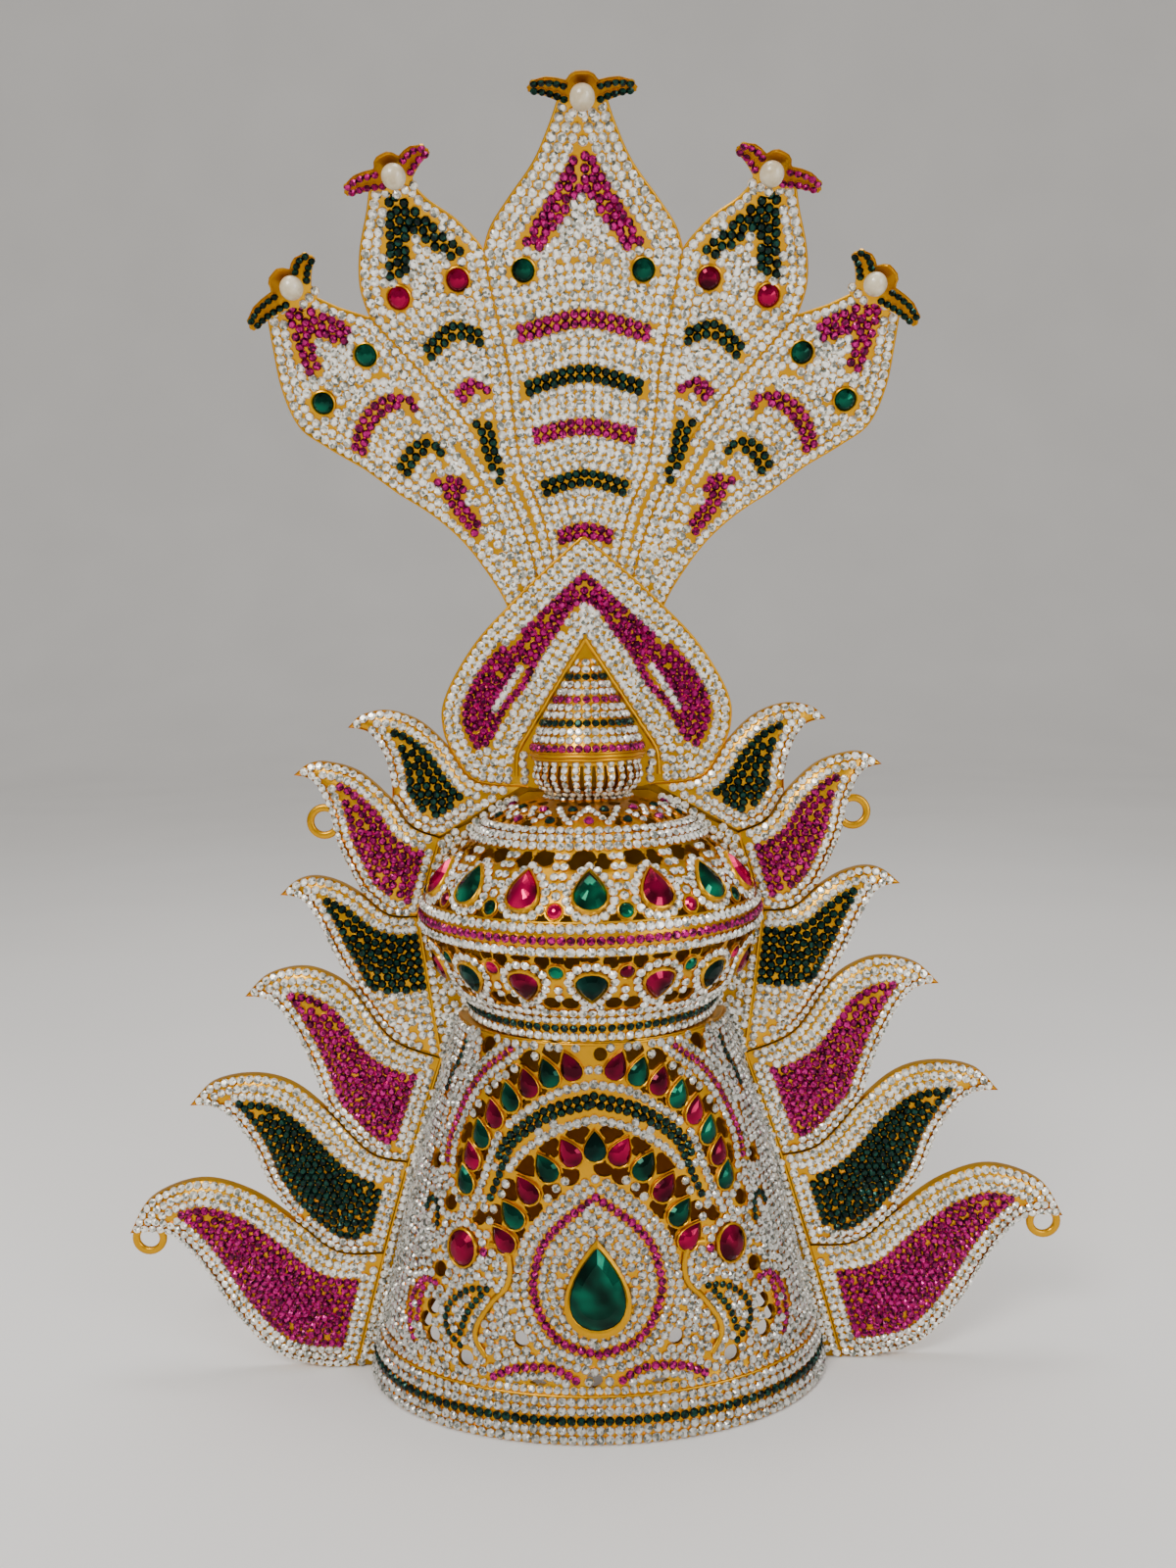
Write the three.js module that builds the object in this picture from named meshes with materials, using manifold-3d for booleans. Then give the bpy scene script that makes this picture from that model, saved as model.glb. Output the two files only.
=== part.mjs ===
// Deity crown: a tall openwork crown in gold-coloured metal. A half-round drum and
// dome stand in front of a flat back plate, between two wings of six embossed flames.
// Above them are a leaf-shaped shield with a half-round finial, and a hood of five
// cobra heads that bends forward, each head with a crest and a pearl.
// Units are millimetres. X runs to the viewer's right, Z up, and the front faces -Y.

import * as THREE from 'three';
import { mergeVertices } from 'three/addons/utils/BufferGeometryUtils.js';
import Module from 'manifold-3d';

const wasm = await Module();
wasm.setup();

// ---------------------------------------------------------------- driving dimensions

const GAP = 0.3;                  // clearance between neighbouring pieces
const SHEET = 1.6;                // thickness of the embossed sheet metal
const RIM_DEPTH = 2.5;            // depth of the turned-back edges of the flames
const PUFF = 4.6;                 // height of a flame's embossing above its edge

const DRUM_HEIGHT = 131;
const DRUM_HALF_WIDTH = 80;       // at the foot, under the foot band
const DRUM_DEPTH = 49;            // at the foot, under the foot band
const FOOT_BAND_HEIGHT = 17;
const FOOT_BAND_DEPTH = 1;
const WALL = 2;                   // drum and dome wall

const DOME_DROP_PITCH = 22.5;     // degrees between the dome's drops
const DOME_UPPER_DROP_Z = 181.5;
const DOME_LOWER_DROP_Z = 152;

const BEND_START_Z = 240;         // above this height shield and hood bend forward
const BEND_RADIUS = 294;
const SHIELD_TIP = 54.5;          // length of the shield above the bend's start
const BEND_LEVELS = [0, 18, 36, SHIELD_TIP, 84, 110, 136, 162];   // where facets of the bend meet
const HOOD_SHEET = 2;
const HOOD_LEAN = 0.7;            // degrees that the hood leans to the right
const SHIELD_THICKNESS = 2.4;

const FINIAL_FRONT_OF_SHIELD = SHIELD_THICKNESS + GAP;
const FINIAL_SPLIT_Z = 221;       // cone above, cup below

const PEARL_RADIUS = 3.6;
const EYE_RADIUS = 3.9;
const LOOP_OUTER_RADIUS = 6.2;
const LOOP_INNER_RADIUS = 3.5;
const LOOP_THICKNESS = 2;

const BACK_SHEET = 1.5;
const HEAD_OPENING_HALF_WIDTH = 66;
const HEAD_OPENING_HEIGHT = 50;

// Flames of one wing, from the top down. Each column is a point [x, z] on the outline:
// the upper edge runs tip, brow, crest, slope, neck, valley, root, and the free lower
// edge runs tip, throat, chest, belly, joint. Below the joint it lies on the next flame.
const FLAMES = [
  { tip: [82.2, 231], brow: [77.5, 235.3], crest: [68.4, 236.8], slope: [57.8, 233.1],
    neck: [48.5, 224.5], valley: [39.5, 212], root: [23, 209.6],
    throat: [75, 229], chest: [70, 221], belly: [67.9, 212], joint: [67.3, 205.5] },
  { tip: [101.5, 215], brow: [96.5, 218.8], crest: [90, 219.4], slope: [79, 215.8],
    neck: [68.2, 206], valley: [61.5, 196.3], root: [52.2, 192.3],
    throat: [94.5, 212.3], chest: [89.6, 202], belly: [86.9, 190], joint: [82.3, 175] },
  { tip: [108, 173.2], brow: [102.5, 178], crest: [96, 179.6], slope: [88, 177.7],
    neck: [79.5, 172.7], valley: [70.5, 165.3], root: [60.8, 164.4],
    throat: [100, 171], chest: [94.2, 161.8], belly: [89.8, 152], joint: [86.2, 143.5] },
  { tip: [121.8, 137.4], brow: [114.5, 144.5], crest: [103.5, 147.5], slope: [93.5, 145.5],
    neck: [83.3, 138.2], valley: [70.7, 120.9], root: [54.2, 113.8],
    throat: [112.5, 135.2], chest: [105, 125], belly: [99, 110.8], joint: [92.4, 93.5] },
  { tip: [143.1, 98.4], brow: [135, 106.5], crest: [121, 109.2], slope: [107.5, 106],
    neck: [95, 96], valley: [80, 79.8], root: [66.9, 76],
    throat: [132, 96.5], chest: [122, 84.5], belly: [116, 69], joint: [110, 58.2] },
  { tip: [166.8, 51.7], brow: [159, 64.5], crest: [141, 71], slope: [123, 66],
    neck: [107, 54.5], valley: [93, 43.5], root: [76.7, 42.4],
    throat: [152, 51], chest: [141.5, 39.5], belly: [130, 20.5], joint: [116, 5.6] },
];
const WING_FOOT = [[98, 0.4], [88, 0.6]];   // end of the lowest flame's lower edge
const STATIONS_PER_SPAN = 2;              // cross-sections from one outline point to the next
const FLAME_ACROSS = [0, 0.2, 0.8, 1];

// Tie loops, each on one flame of either wing.
const LOOPS = [
  { flame: 2, centre: [92.2, 198.3] },
  { flame: 6, centre: [161, 48.5] },
];

// Outer profile of the dome, [radius, z], from the neck up.
const DOME_PROFILE = [
  [42.5, DRUM_HEIGHT + GAP], [44, 138], [52.3, 149.5], [58, 163], [58.2, 170],
  [54.6, 179], [48.6, 186.2], [41.5, 192], [36.5, 197.5], [27, 203], [8, 206.8],
];
// Outer profiles of the finial, [radius, z].
const CONE_PROFILE = [
  [19, FINIAL_SPLIT_Z + GAP], [18.6, 223.5], [15, 231.5], [10.3, 239.3], [5.6, 247], [1.4, 253],
];
const CUP_PROFILE = [
  [12.5, 207.3], [16, 209.5], [18.2, 213.5], [17.4, 218], [19, 220.2], [19, FINIAL_SPLIT_Z],
];

// Right half of the shield's outline, [x, s], from the tip down to the first flame.
// s is the length along the sheet above BEND_START_Z.
const SHIELD_SIDE = [
  [0, SHIELD_TIP], [14, 42.4], [25.9, 31.1], [36.9, 19.5], [45.3, 6.7], [49.3, -3.3], [49, -11.5],
];
// Right half of the hood's outline, [x, s]: one row for each head's free edges.
const HOOD_EDGES = {
  centreHead: [[6.8, 183.6], [9.5, 176.8], [14.4, 167.2], [21.8, 157.9], [27.8, 149.8], [30.5, 142.7]],
  innerHeadTop: [[30.5, 142.7], [33, 146], [39.1, 152], [47, 157.3], [51.9, 162.8]],
  innerHeadSide: [[63.6, 160], [65, 154], [68.3, 143], [69.3, 132.5], [67, 123.3]],
  outerHeadTop: [[67, 123.3], [76.7, 126.3], [87.1, 131]],
  outerHeadSide: [[99.4, 126.3], [98.8, 115], [97.4, 101.8], [93.1, 90.5], [85.1, 84.3], [72.8, 77]],
  stem: [[72.8, 77], [61.9, 68.8], [50.5, 61.5], [40.1, 52], [31, 39.5], [26.2, 30.5], [18.8, 12],
    [16.8, -4]],
};
const HOOD_FOOT_S = -8;

// The five heads: seat of the pearl [x, s], tilt of the crest in degrees, scale of its
// wings toward the hood's middle and away from it, and the eyes.
const HEADS = [
  { name: 'centre', seat: [0, 186], tilt: 0, wings: [1, 1], eyes: [[18.6, 137.3]] },
  { name: 'inner', seat: [55.2, 165.4], tilt: 24, wings: [0.76, 1.05],
    eyes: [[39, 134.7], [57.7, 129.5]] },
  { name: 'outer', seat: [89.4, 134], tilt: 44, wings: [0.68, 1.28],
    eyes: [[69.6, 112.5], [84.7, 97.8]] },
];
// Right half of a crest, a three-lobed leaf: lower and upper edge at a distance
// across from its middle, measured from the pearl's centre.
const CREST_COLUMNS = [
  { across: 0, lower: -7.5, upper: 6.7 },
  { across: 3.3, lower: -7, upper: 5.7 },
  { across: 4.4, lower: -3.9, upper: 3.8 },
  { across: 7.4, lower: -2.4, upper: 4.6 },
  { across: 10.3, lower: -1.2, upper: 4.9 },
  { across: 13.3, lower: -0.4, upper: 4 },
  { across: 15.4, lower: 0.2, upper: 2 },
];
const CREST_SHEET = 1.3;
const CREST_CURL = 0.05;          // forward curl grows with the square of the height
const CREST_CURL_START = -6;
const PEARL_LIFT = 8;             // pearl centre in front of the hood

// Colours.
const GOLD = 0xd9a431;
const RUBY = 0x9c0a3a;
const EMERALD = 0x04553c;
const DARK_EMERALD = 0x0b2c28;
const PEARL = 0xe6dccb;

// ---------------------------------------------------------------- small tools

const degrees = THREE.MathUtils.degToRad;
const lerp = THREE.MathUtils.lerp;

function metal() {
  return new THREE.MeshStandardMaterial({ color: GOLD, roughness: 0.28, metalness: 1 });
}

function gem(color) {
  return new THREE.MeshStandardMaterial({ color, roughness: 0.08, metalness: 0 });
}

function pearlSkin() {
  return new THREE.MeshStandardMaterial({ color: PEARL, roughness: 0.3, metalness: 0 });
}

// Geometry from a list of triangle corners, with shared corners merged, empty
// triangles dropped and the faces turned outward.
function closedGeometry(corners) {
  const soup = new THREE.BufferGeometry();
  soup.setAttribute('position', new THREE.Float32BufferAttribute(corners, 3));
  const merged = mergeVertices(soup, 1e-4);
  const source = merged.index.array;
  const position = merged.getAttribute('position');
  const corner = [new THREE.Vector3(), new THREE.Vector3(), new THREE.Vector3()];
  const kept = [];
  let volume = 0;
  for (let k = 0; k < source.length; k += 3) {
    const ids = [source[k], source[k + 1], source[k + 2]];
    if (ids[0] === ids[1] || ids[1] === ids[2] || ids[2] === ids[0]) {
      continue;
    }
    ids.forEach((id, n) => corner[n].fromBufferAttribute(position, id));
    volume += corner[0].dot(corner[1].clone().cross(corner[2]));
    kept.push(ids);
  }
  const outward = volume > 0 ? kept : kept.map(([a, b, c]) => [a, c, b]);
  merged.setIndex(outward.flat());
  return merged;
}

// Triangle corners of an indexed or plain geometry.
function cornersOf(geometry) {
  const plain = geometry.index ? geometry.toNonIndexed() : geometry;
  return Array.from(plain.getAttribute('position').array);
}

function toSolid(geometry) {
  const clean = geometry.clone();
  clean.deleteAttribute('normal');
  clean.deleteAttribute('uv');
  const merged = mergeVertices(clean, 1e-4);
  return new wasm.Manifold(new wasm.Mesh({
    numProp: 3,
    vertProperties: new Float32Array(merged.getAttribute('position').array),
    triVerts: new Uint32Array(merged.index.array),
  }));
}

function toGeometry(solid) {
  const mesh = solid.getMesh();
  const geometry = new THREE.BufferGeometry();
  geometry.setAttribute('position', new THREE.Float32BufferAttribute(mesh.vertProperties, 3));
  geometry.setIndex(Array.from(mesh.triVerts));
  return geometry;
}

// A closed solid between two grids of points of the same size.
function sheetGeometry(front, back) {
  const lastRow = front.length - 1;
  const lastColumn = front[0].length - 1;
  const corners = [];
  const quad = (a, b, c, d) => corners.push(...a, ...b, ...c, ...a, ...c, ...d);
  for (let i = 0; i < lastRow; i += 1) {
    for (let j = 0; j < lastColumn; j += 1) {
      quad(front[i][j], front[i][j + 1], front[i + 1][j + 1], front[i + 1][j]);
      quad(back[i][j], back[i + 1][j], back[i + 1][j + 1], back[i][j + 1]);
    }
    quad(front[i][0], front[i + 1][0], back[i + 1][0], back[i][0]);
    quad(front[i + 1][lastColumn], front[i][lastColumn], back[i][lastColumn], back[i + 1][lastColumn]);
  }
  for (let j = 0; j < lastColumn; j += 1) {
    quad(front[0][j + 1], front[0][j], back[0][j], back[0][j + 1]);
    quad(front[lastRow][j], front[lastRow][j + 1], back[lastRow][j + 1], back[lastRow][j]);
  }
  return closedGeometry(corners);
}

// A closed solid through stacked rings of points, with flat ends.
function ringStackGeometry(rings) {
  const count = rings[0].length;
  const corners = [];
  for (let k = 0; k + 1 < rings.length; k += 1) {
    for (let i = 0; i < count; i += 1) {
      const next = (i + 1) % count;
      const [a, b] = [rings[k][i], rings[k][next]];
      const [c, d] = [rings[k + 1][next], rings[k + 1][i]];
      corners.push(...a, ...b, ...c, ...a, ...c, ...d);
    }
  }
  const bottom = rings[0];
  const top = rings[rings.length - 1];
  for (let i = 1; i + 1 < count; i += 1) {
    corners.push(...bottom[0], ...bottom[i + 1], ...bottom[i]);
    corners.push(...top[0], ...top[i], ...top[i + 1]);
  }
  return closedGeometry(corners);
}

// Points [x, y] along a smooth curve through a few points.
function smooth(points, segments) {
  const curve = new THREE.SplineCurve(points.map(([x, y]) => new THREE.Vector2(x, y)));
  return curve.getSpacedPoints(segments).map((p) => [p.x, p.y]);
}

// The same with a fixed number of segments between each pair of points.
function through(points) {
  const curve = new THREE.SplineCurve(points.map(([x, y]) => new THREE.Vector2(x, y)));
  return curve.getPoints(STATIONS_PER_SPAN * (points.length - 1)).map((p) => [p.x, p.y]);
}

// The matrix that puts a piece drawn flat, with its face to +Z and its top to +Y,
// at a point with its face along the normal.
function seatMatrix(point, normal, up, roll = 0) {
  const z = normal.clone().normalize();
  const x = up.clone().cross(z).normalize();
  const y = z.clone().cross(x);
  const turn = new THREE.Matrix4().makeRotationZ(roll);
  return new THREE.Matrix4().makeBasis(x, y, z).setPosition(point).multiply(turn);
}

function mirrored(points) {
  return points.map(([x, y]) => [-x, y]).reverse();
}

// ---------------------------------------------------------------- surfaces

// Drum wall: half an ellipse in plan that narrows upward, with a foot band.
function drumHalfWidth(z) {
  return DRUM_HALF_WIDTH - 0.18 * z - 0.00058 * z * z;
}

function drumDepth(z) {
  return DRUM_DEPTH - 0.05 * z;
}

function drumPoint(angle, z, lift = 0) {
  const a = degrees(angle);
  const x = (drumHalfWidth(z) + lift) * Math.sin(a);
  const y = -(drumDepth(z) + lift) * Math.cos(a);
  return new THREE.Vector3(x, y, z);
}

// Dome wall: a half turn of its profile.
function domeRadius(z) {
  const last = DOME_PROFILE.length - 1;
  for (let k = 0; k < last; k += 1) {
    const [r0, z0] = DOME_PROFILE[k];
    const [r1, z1] = DOME_PROFILE[k + 1];
    if (z <= z1) {
      return lerp(r0, r1, (z - z0) / (z1 - z0));
    }
  }
  return DOME_PROFILE[last][0];
}

function domePoint(angle, z, lift = 0) {
  const a = degrees(angle);
  const r = domeRadius(z) + lift;
  return new THREE.Vector3(r * Math.sin(a), -r * Math.cos(a), z);
}

// Frame of a wall at an angle and height: point, outward normal and upward direction.
function wallFrame(surface, angle, z) {
  const step = 1;
  const across = surface(angle + step, z).sub(surface(angle - step, z));
  const up = surface(angle, z + step).sub(surface(angle, z - step));
  return { point: surface(angle, z), normal: across.cross(up).normalize(), up: up.normalize() };
}

// Shield and hood: flat up to BEND_START_Z, then an arc that leans forward.
// lift is the distance in front of the sheet's datum.
function bentPoint(x, s, lift) {
  if (s <= 0) {
    return new THREE.Vector3(x, -lift, BEND_START_Z + s);
  }
  const turn = s / BEND_RADIUS;
  const radius = BEND_RADIUS - lift;
  return new THREE.Vector3(x, radius * Math.cos(turn) - BEND_RADIUS, BEND_START_Z + radius * Math.sin(turn));
}

function bentNormal(s) {
  const turn = Math.max(0, s) / BEND_RADIUS;
  return new THREE.Vector3(0, -Math.cos(turn), -Math.sin(turn));
}

function bentUp(s) {
  const turn = Math.max(0, s) / BEND_RADIUS;
  return new THREE.Vector3(0, -Math.sin(turn), Math.cos(turn));
}

// ---------------------------------------------------------------- stones

// Outline of a pear shape with its point up, width 1 and length 1.
function pearOutline(sides) {
  const points = [];
  const widest = 0.77;
  for (let k = 0; k < sides; k += 1) {
    const t = (2 * Math.PI * k) / sides;
    points.push([-0.5 * Math.sin(t) * Math.sin(t / 2) / widest, 0.5 * Math.cos(t)]);
  }
  return points;
}

function roundOutline(sides) {
  const points = [];
  for (let k = 0; k < sides; k += 1) {
    const t = (2 * Math.PI * (k + 0.5)) / sides;
    points.push([-0.5 * Math.sin(t), 0.5 * Math.cos(t)]);
  }
  return points;
}

// A cut stone: flat back, girdle, sloping crown and flat table.
function stoneGeometry(outline, width, length, height) {
  const ring = (scale, z) => outline.map(([x, y]) => [x * width * scale, y * length * scale, z]);
  return ringStackGeometry([ring(0.92, 0), ring(1, 0.3 * height), ring(0.55, height)]);
}

// A stone with fewer faces, sunk a little so that it joins its setting.
function joinedStone(outline, width, length, height) {
  const ring = (scale, z) => outline.map(([x, y]) => [x * width * scale, y * length * scale, z]);
  return ringStackGeometry([ring(1, -0.8), ring(0.6, height)]);
}

function stoneMesh(name, geometry, color, matrix) {
  const mesh = new THREE.Mesh(geometry, gem(color));
  mesh.name = name;
  matrix.decompose(mesh.position, mesh.quaternion, mesh.scale);
  return mesh;
}

// A stone on a wall, its back clear of the wall by lift.
function wallStone(name, geometry, color, surface, angle, z, roll, lift) {
  const { point, normal, up } = wallFrame(surface, angle, z);
  const seat = point.addScaledVector(normal, lift);
  return stoneMesh(name, geometry, color, seatMatrix(seat, normal, up, roll));
}

// ---------------------------------------------------------------- pierced walls

// A prism through a wall, from a flat outline [u, v] in the wall's own frame.
function piercingPrism(surface, angle, z, outline) {
  const reach = 5;
  const { point, normal, up } = wallFrame(surface, angle, z);
  const ring = (depth) => outline.map(([u, v]) => [u, v, depth]);
  const prism = ringStackGeometry([ring(-reach), ring(reach)]);
  return prism.applyMatrix4(seatMatrix(point, normal, up));
}

function cutAll(wall, prisms) {
  let solid = toSolid(wall);
  prisms.forEach((prism) => {
    solid = solid.subtract(toSolid(prism));
  });
  return solid;
}

function triangle(width, height) {
  return [[-width / 2, 0], [width / 2, 0], [0, height]];
}

function slot(length, height) {
  return [[-length / 2, 0], [length / 2, 0], [length * 0.3, height], [-length * 0.3, height]];
}

// Seats of the drum's drop stones: two arches over the centre medallion.
function outerArchSeats() {
  const seats = [];
  for (let k = 1; k <= 8; k += 1) {
    const t = degrees(11.2 * k);
    seats.push({ angle: 44.5 * Math.sin(t), z: 82 + 42 * Math.cos(t), lean: degrees(24), step: k });
  }
  return seats;
}

function innerArchSeats() {
  const seats = [];
  for (let k = 0; k <= 5; k += 1) {
    const t = degrees(17.5 * k - 0.3 * k * k);
    const lean = k === 0 ? 0 : degrees(28 + 3.5 * k);
    seats.push({ angle: 28 * Math.sin(t), z: 61 + 36.5 * Math.cos(t) ** 1.2, lean, step: k });
  }
  return seats;
}

// Holes between neighbouring seats of an arch, above or below the stones.
function archHoles(seats, shift, size) {
  return seats.slice(1).map((seat, k) => ({
    angle: (seats[k].angle + seat.angle) / 2 + shift.angle,
    z: (seats[k].z + seat.z) / 2 + shift.z,
    outline: triangle(size, Math.sign(shift.z) * size),
  }));
}

function drumHoles() {
  const right = [
    ...archHoles(outerArchSeats(), { angle: 3.5, z: 3.6 }, 2.8),
    ...archHoles(innerArchSeats(), { angle: 4, z: 3.6 }, 2.8),
    ...archHoles(innerArchSeats(), { angle: -3.4, z: -3.8 }, 2.8),
    { angle: 4, z: 127, outline: triangle(2.6, -3) },
    { angle: 44, z: 126.5, outline: triangle(5, -4) },
    { angle: 20.5, z: 20, outline: slot(10, 2.4) },
    { angle: 12, z: 20, outline: slot(5, 2.6) },
    { angle: 16, z: 31, outline: triangle(4.5, 3.5) },
    { angle: 27.5, z: 29, outline: slot(4.5, 4.5) },
    { angle: 24.5, z: 35, outline: triangle(2.6, 5) },
    { angle: 19.6, z: 41, outline: triangle(3, 5) },
    { angle: 37, z: 22, outline: slot(8, 3.4) },
    { angle: 50, z: 33, outline: slot(2.4, 9) },
    { angle: 46.5, z: 33, outline: slot(2.4, 9) },
    { angle: 27, z: 60, outline: triangle(3, 3) },
    { angle: 37, z: 70.5, outline: triangle(4.5, 3) },
    { angle: 60, z: 84, outline: slot(2.6, 9) },
  ];
  const centre = [{ angle: 0, z: 18.6, outline: triangle(3.4, 4) }];
  const left = right.map((hole) => ({ ...hole, angle: -hole.angle }));
  return [...right, ...centre, ...left];
}

// ---------------------------------------------------------------- drum and dome

function halfTurn(segments) {
  return Array.from({ length: segments + 1 }, (_, k) => -90 + (180 * k) / segments);
}

const DRUM_ANGLES = halfTurn(18);
const DOME_ANGLES = halfTurn(16);

function makeDrum() {
  const levels = [
    { z: 0, lift: FOOT_BAND_DEPTH }, { z: FOOT_BAND_HEIGHT, lift: FOOT_BAND_DEPTH },
    { z: FOOT_BAND_HEIGHT + 1, lift: 0 }, { z: 75, lift: 0 }, { z: DRUM_HEIGHT, lift: 0 },
  ];
  const grid = (inset) => levels.map(({ z, lift }) => (
    DRUM_ANGLES.map((angle) => drumPoint(angle, z, inset ? -WALL : lift).toArray())
  ));
  const prisms = drumHoles().map(({ angle, z, outline }) => piercingPrism(drumPoint, angle, z, outline));
  let solid = cutAll(sheetGeometry(grid(false), grid(true)), prisms);
  outerArchSeats().forEach(({ angle, z, lean }) => {
    [-1, 1].forEach((side) => {
      const { point, normal, up } = wallFrame(drumPoint, side * angle, z);
      const drop = joinedStone(pearOutline(5), 5.6, 8.2, 1.6);
      drop.applyMatrix4(seatMatrix(point, normal, up, -side * lean));
      solid = solid.add(toSolid(drop));
    });
  });
  const mesh = new THREE.Mesh(toGeometry(solid), metal());
  mesh.name = 'drum';
  return mesh;
}

function domeHoles() {
  const holes = [];
  for (let k = -4; k < 4; k += 1) {
    const middle = DOME_DROP_PITCH * (k + 0.5);
    holes.push({ angle: middle, z: 190.6, outline: slot(7, -3.6) });
    [-1, 1].forEach((side) => {
      holes.push({ angle: middle + side * 4.2, z: 171.8, outline: triangle(3.4, 3) });
    });
    holes.push({ angle: middle, z: 161.8, outline: slot(6, -2) });
  }
  return holes;
}

function makeDome() {
  const outer = DOME_PROFILE.map(([, z]) => DOME_ANGLES.map((angle) => domePoint(angle, z).toArray()));
  const profile = DOME_PROFILE.map(([r, z]) => new THREE.Vector2(r, z));
  const inner = profile.map((point, k) => {
    const before = profile[Math.max(0, k - 1)];
    const after = profile[Math.min(profile.length - 1, k + 1)];
    const along = after.clone().sub(before).normalize();
    const inward = new THREE.Vector2(-along.y, along.x).multiplyScalar(WALL);
    const end = k === 0 || k === profile.length - 1;
    const r = point.x + (k === 0 ? -WALL : inward.x);
    const z = point.y + (end ? (k === 0 ? 0 : -WALL) : inward.y);
    return DOME_ANGLES.map((angle) => {
      const a = degrees(angle);
      return [Math.max(r, 1) * Math.sin(a), -Math.max(r, 1) * Math.cos(a), z];
    });
  });
  const prisms = domeHoles().map(({ angle, z, outline }) => piercingPrism(domePoint, angle, z, outline));
  let solid = cutAll(sheetGeometry(outer, inner), prisms);
  for (let k = -4; k < 4; k += 1) {
    [175.8, 157].forEach((z) => {
      const { point, normal, up } = wallFrame(domePoint, DOME_DROP_PITCH * (k + 0.5), z);
      const round = joinedStone(roundOutline(5), 4.6, 4.6, 1.3);
      solid = solid.add(toSolid(round.applyMatrix4(seatMatrix(point, normal, up))));
    });
  }
  const mesh = new THREE.Mesh(toGeometry(solid), metal());
  mesh.name = 'dome';
  return mesh;
}

function makeDomeDrops() {
  const drops = [];
  const rows = [
    { row: 'upper', z: DOME_UPPER_DROP_Z, length: 12, width: 8.8, roll: 0, lift: 0.5 },
    { row: 'lower', z: DOME_LOWER_DROP_Z, length: 10, width: 8.8, roll: Math.PI, lift: 0.5 },
  ];
  rows.forEach(({ row, z, length, width, roll, lift }) => {
    for (let k = -3; k <= 3; k += 1) {
      const green = k % 2 === 0;
      const greenColor = row === 'upper' ? EMERALD : DARK_EMERALD;
      const geometry = stoneGeometry(pearOutline(7), width, length, 2.6);
      drops.push(wallStone(`dome_${row}_drop_${k + 4}`, geometry, green ? greenColor : RUBY,
        domePoint, DOME_DROP_PITCH * k, z, roll, lift));
    }
  });
  return drops;
}

function makeDrumDrops() {
  const drops = [];
  innerArchSeats().forEach(({ angle, z, lean, step }) => {
    const sides = step === 0 ? [0] : [-1, 1];
    sides.forEach((side) => {
      const label = step === 0 ? 'top' : `${side < 0 ? 'left' : 'right'}_${step}`;
      const geometry = stoneGeometry(pearOutline(7), 5.8, 8.4, 1.8);
      drops.push(wallStone(`arch_drop_${label}`, geometry, step % 2 === 0 ? EMERALD : RUBY,
        drumPoint, side * angle, z, -side * lean, 0.4));
    });
  });
  drops.push(wallStone('centre_drop', stoneGeometry(pearOutline(12), 18.5, 27.5, 4), EMERALD,
    drumPoint, 0, 51.5, 0, 0.8));
  [-1, 1].forEach((side) => {
    drops.push(wallStone(`side_stone_${side < 0 ? 'left' : 'right'}`,
      stoneGeometry(roundOutline(10), 10.6, 12, 2.6), RUBY, drumPoint, side * 41, 60, 0, 0.5));
  });
  return drops;
}

// ---------------------------------------------------------------- finial

// Half-round shell that follows the shield's bend, from an outer profile.
function halfShell(profile, wall, steps) {
  const grid = (inset) => profile.map(([r, z]) => (
    Array.from({ length: steps + 1 }, (_, k) => {
      const a = -Math.PI / 2 + (Math.PI * k) / steps;
      const radius = Math.max(r - (inset ? wall : 0), 0.4);
      const lift = FINIAL_FRONT_OF_SHIELD + radius * Math.cos(a);
      return bentPoint(radius * Math.sin(a), z - BEND_START_Z, lift).toArray();
    })
  ));
  return sheetGeometry(grid(false), grid(true));
}

function makeFinial() {
  const cone = new THREE.Mesh(halfShell(CONE_PROFILE, SHEET, 8), metal());
  cone.name = 'finial_cone';
  const cup = new THREE.Mesh(halfShell(CUP_PROFILE, SHEET, 8), metal());
  cup.name = 'finial_cup';
  return [cone, cup];
}

// ---------------------------------------------------------------- flames

function flameUpperEdge({ tip, brow, crest, slope, neck, valley, root }) {
  return through([tip, brow, crest, slope, neck, valley, root]);
}

// Points of a polyline moved sideways, toward the right of its direction.
function moved(points, distance) {
  return points.map(([x, z], k) => {
    const [x0, z0] = points[Math.max(0, k - 1)];
    const [x1, z1] = points[Math.min(points.length - 1, k + 1)];
    const length = Math.hypot(x1 - x0, z1 - z0);
    return [x + (distance * (z1 - z0)) / length, z - (distance * (x1 - x0)) / length];
  });
}

// Lower edge: free from the tip to the joint, then along the next flame's neck.
function flameLowerEdge({ tip, throat, chest, belly, joint }, nextUpper) {
  if (!nextUpper) {
    return through([tip, throat, chest, belly, joint, ...WING_FOOT]);
  }
  const shared = moved(nextUpper, 1.3 * GAP).slice(4 * STATIONS_PER_SPAN);
  return [...through([tip, throat, chest, belly, shared[0]]), ...shared.slice(1)];
}

// Height of the embossing: none at the edges, full along the middle.
function puffHeight(station, across, width) {
  const full = Math.min(PUFF, 0.16 * width);
  const toRoot = THREE.MathUtils.smoothstep(station, 0.72, 1);
  return full * Math.sin(Math.PI * across) ** 0.55 * (1 - 0.8 * toRoot);
}

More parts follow.
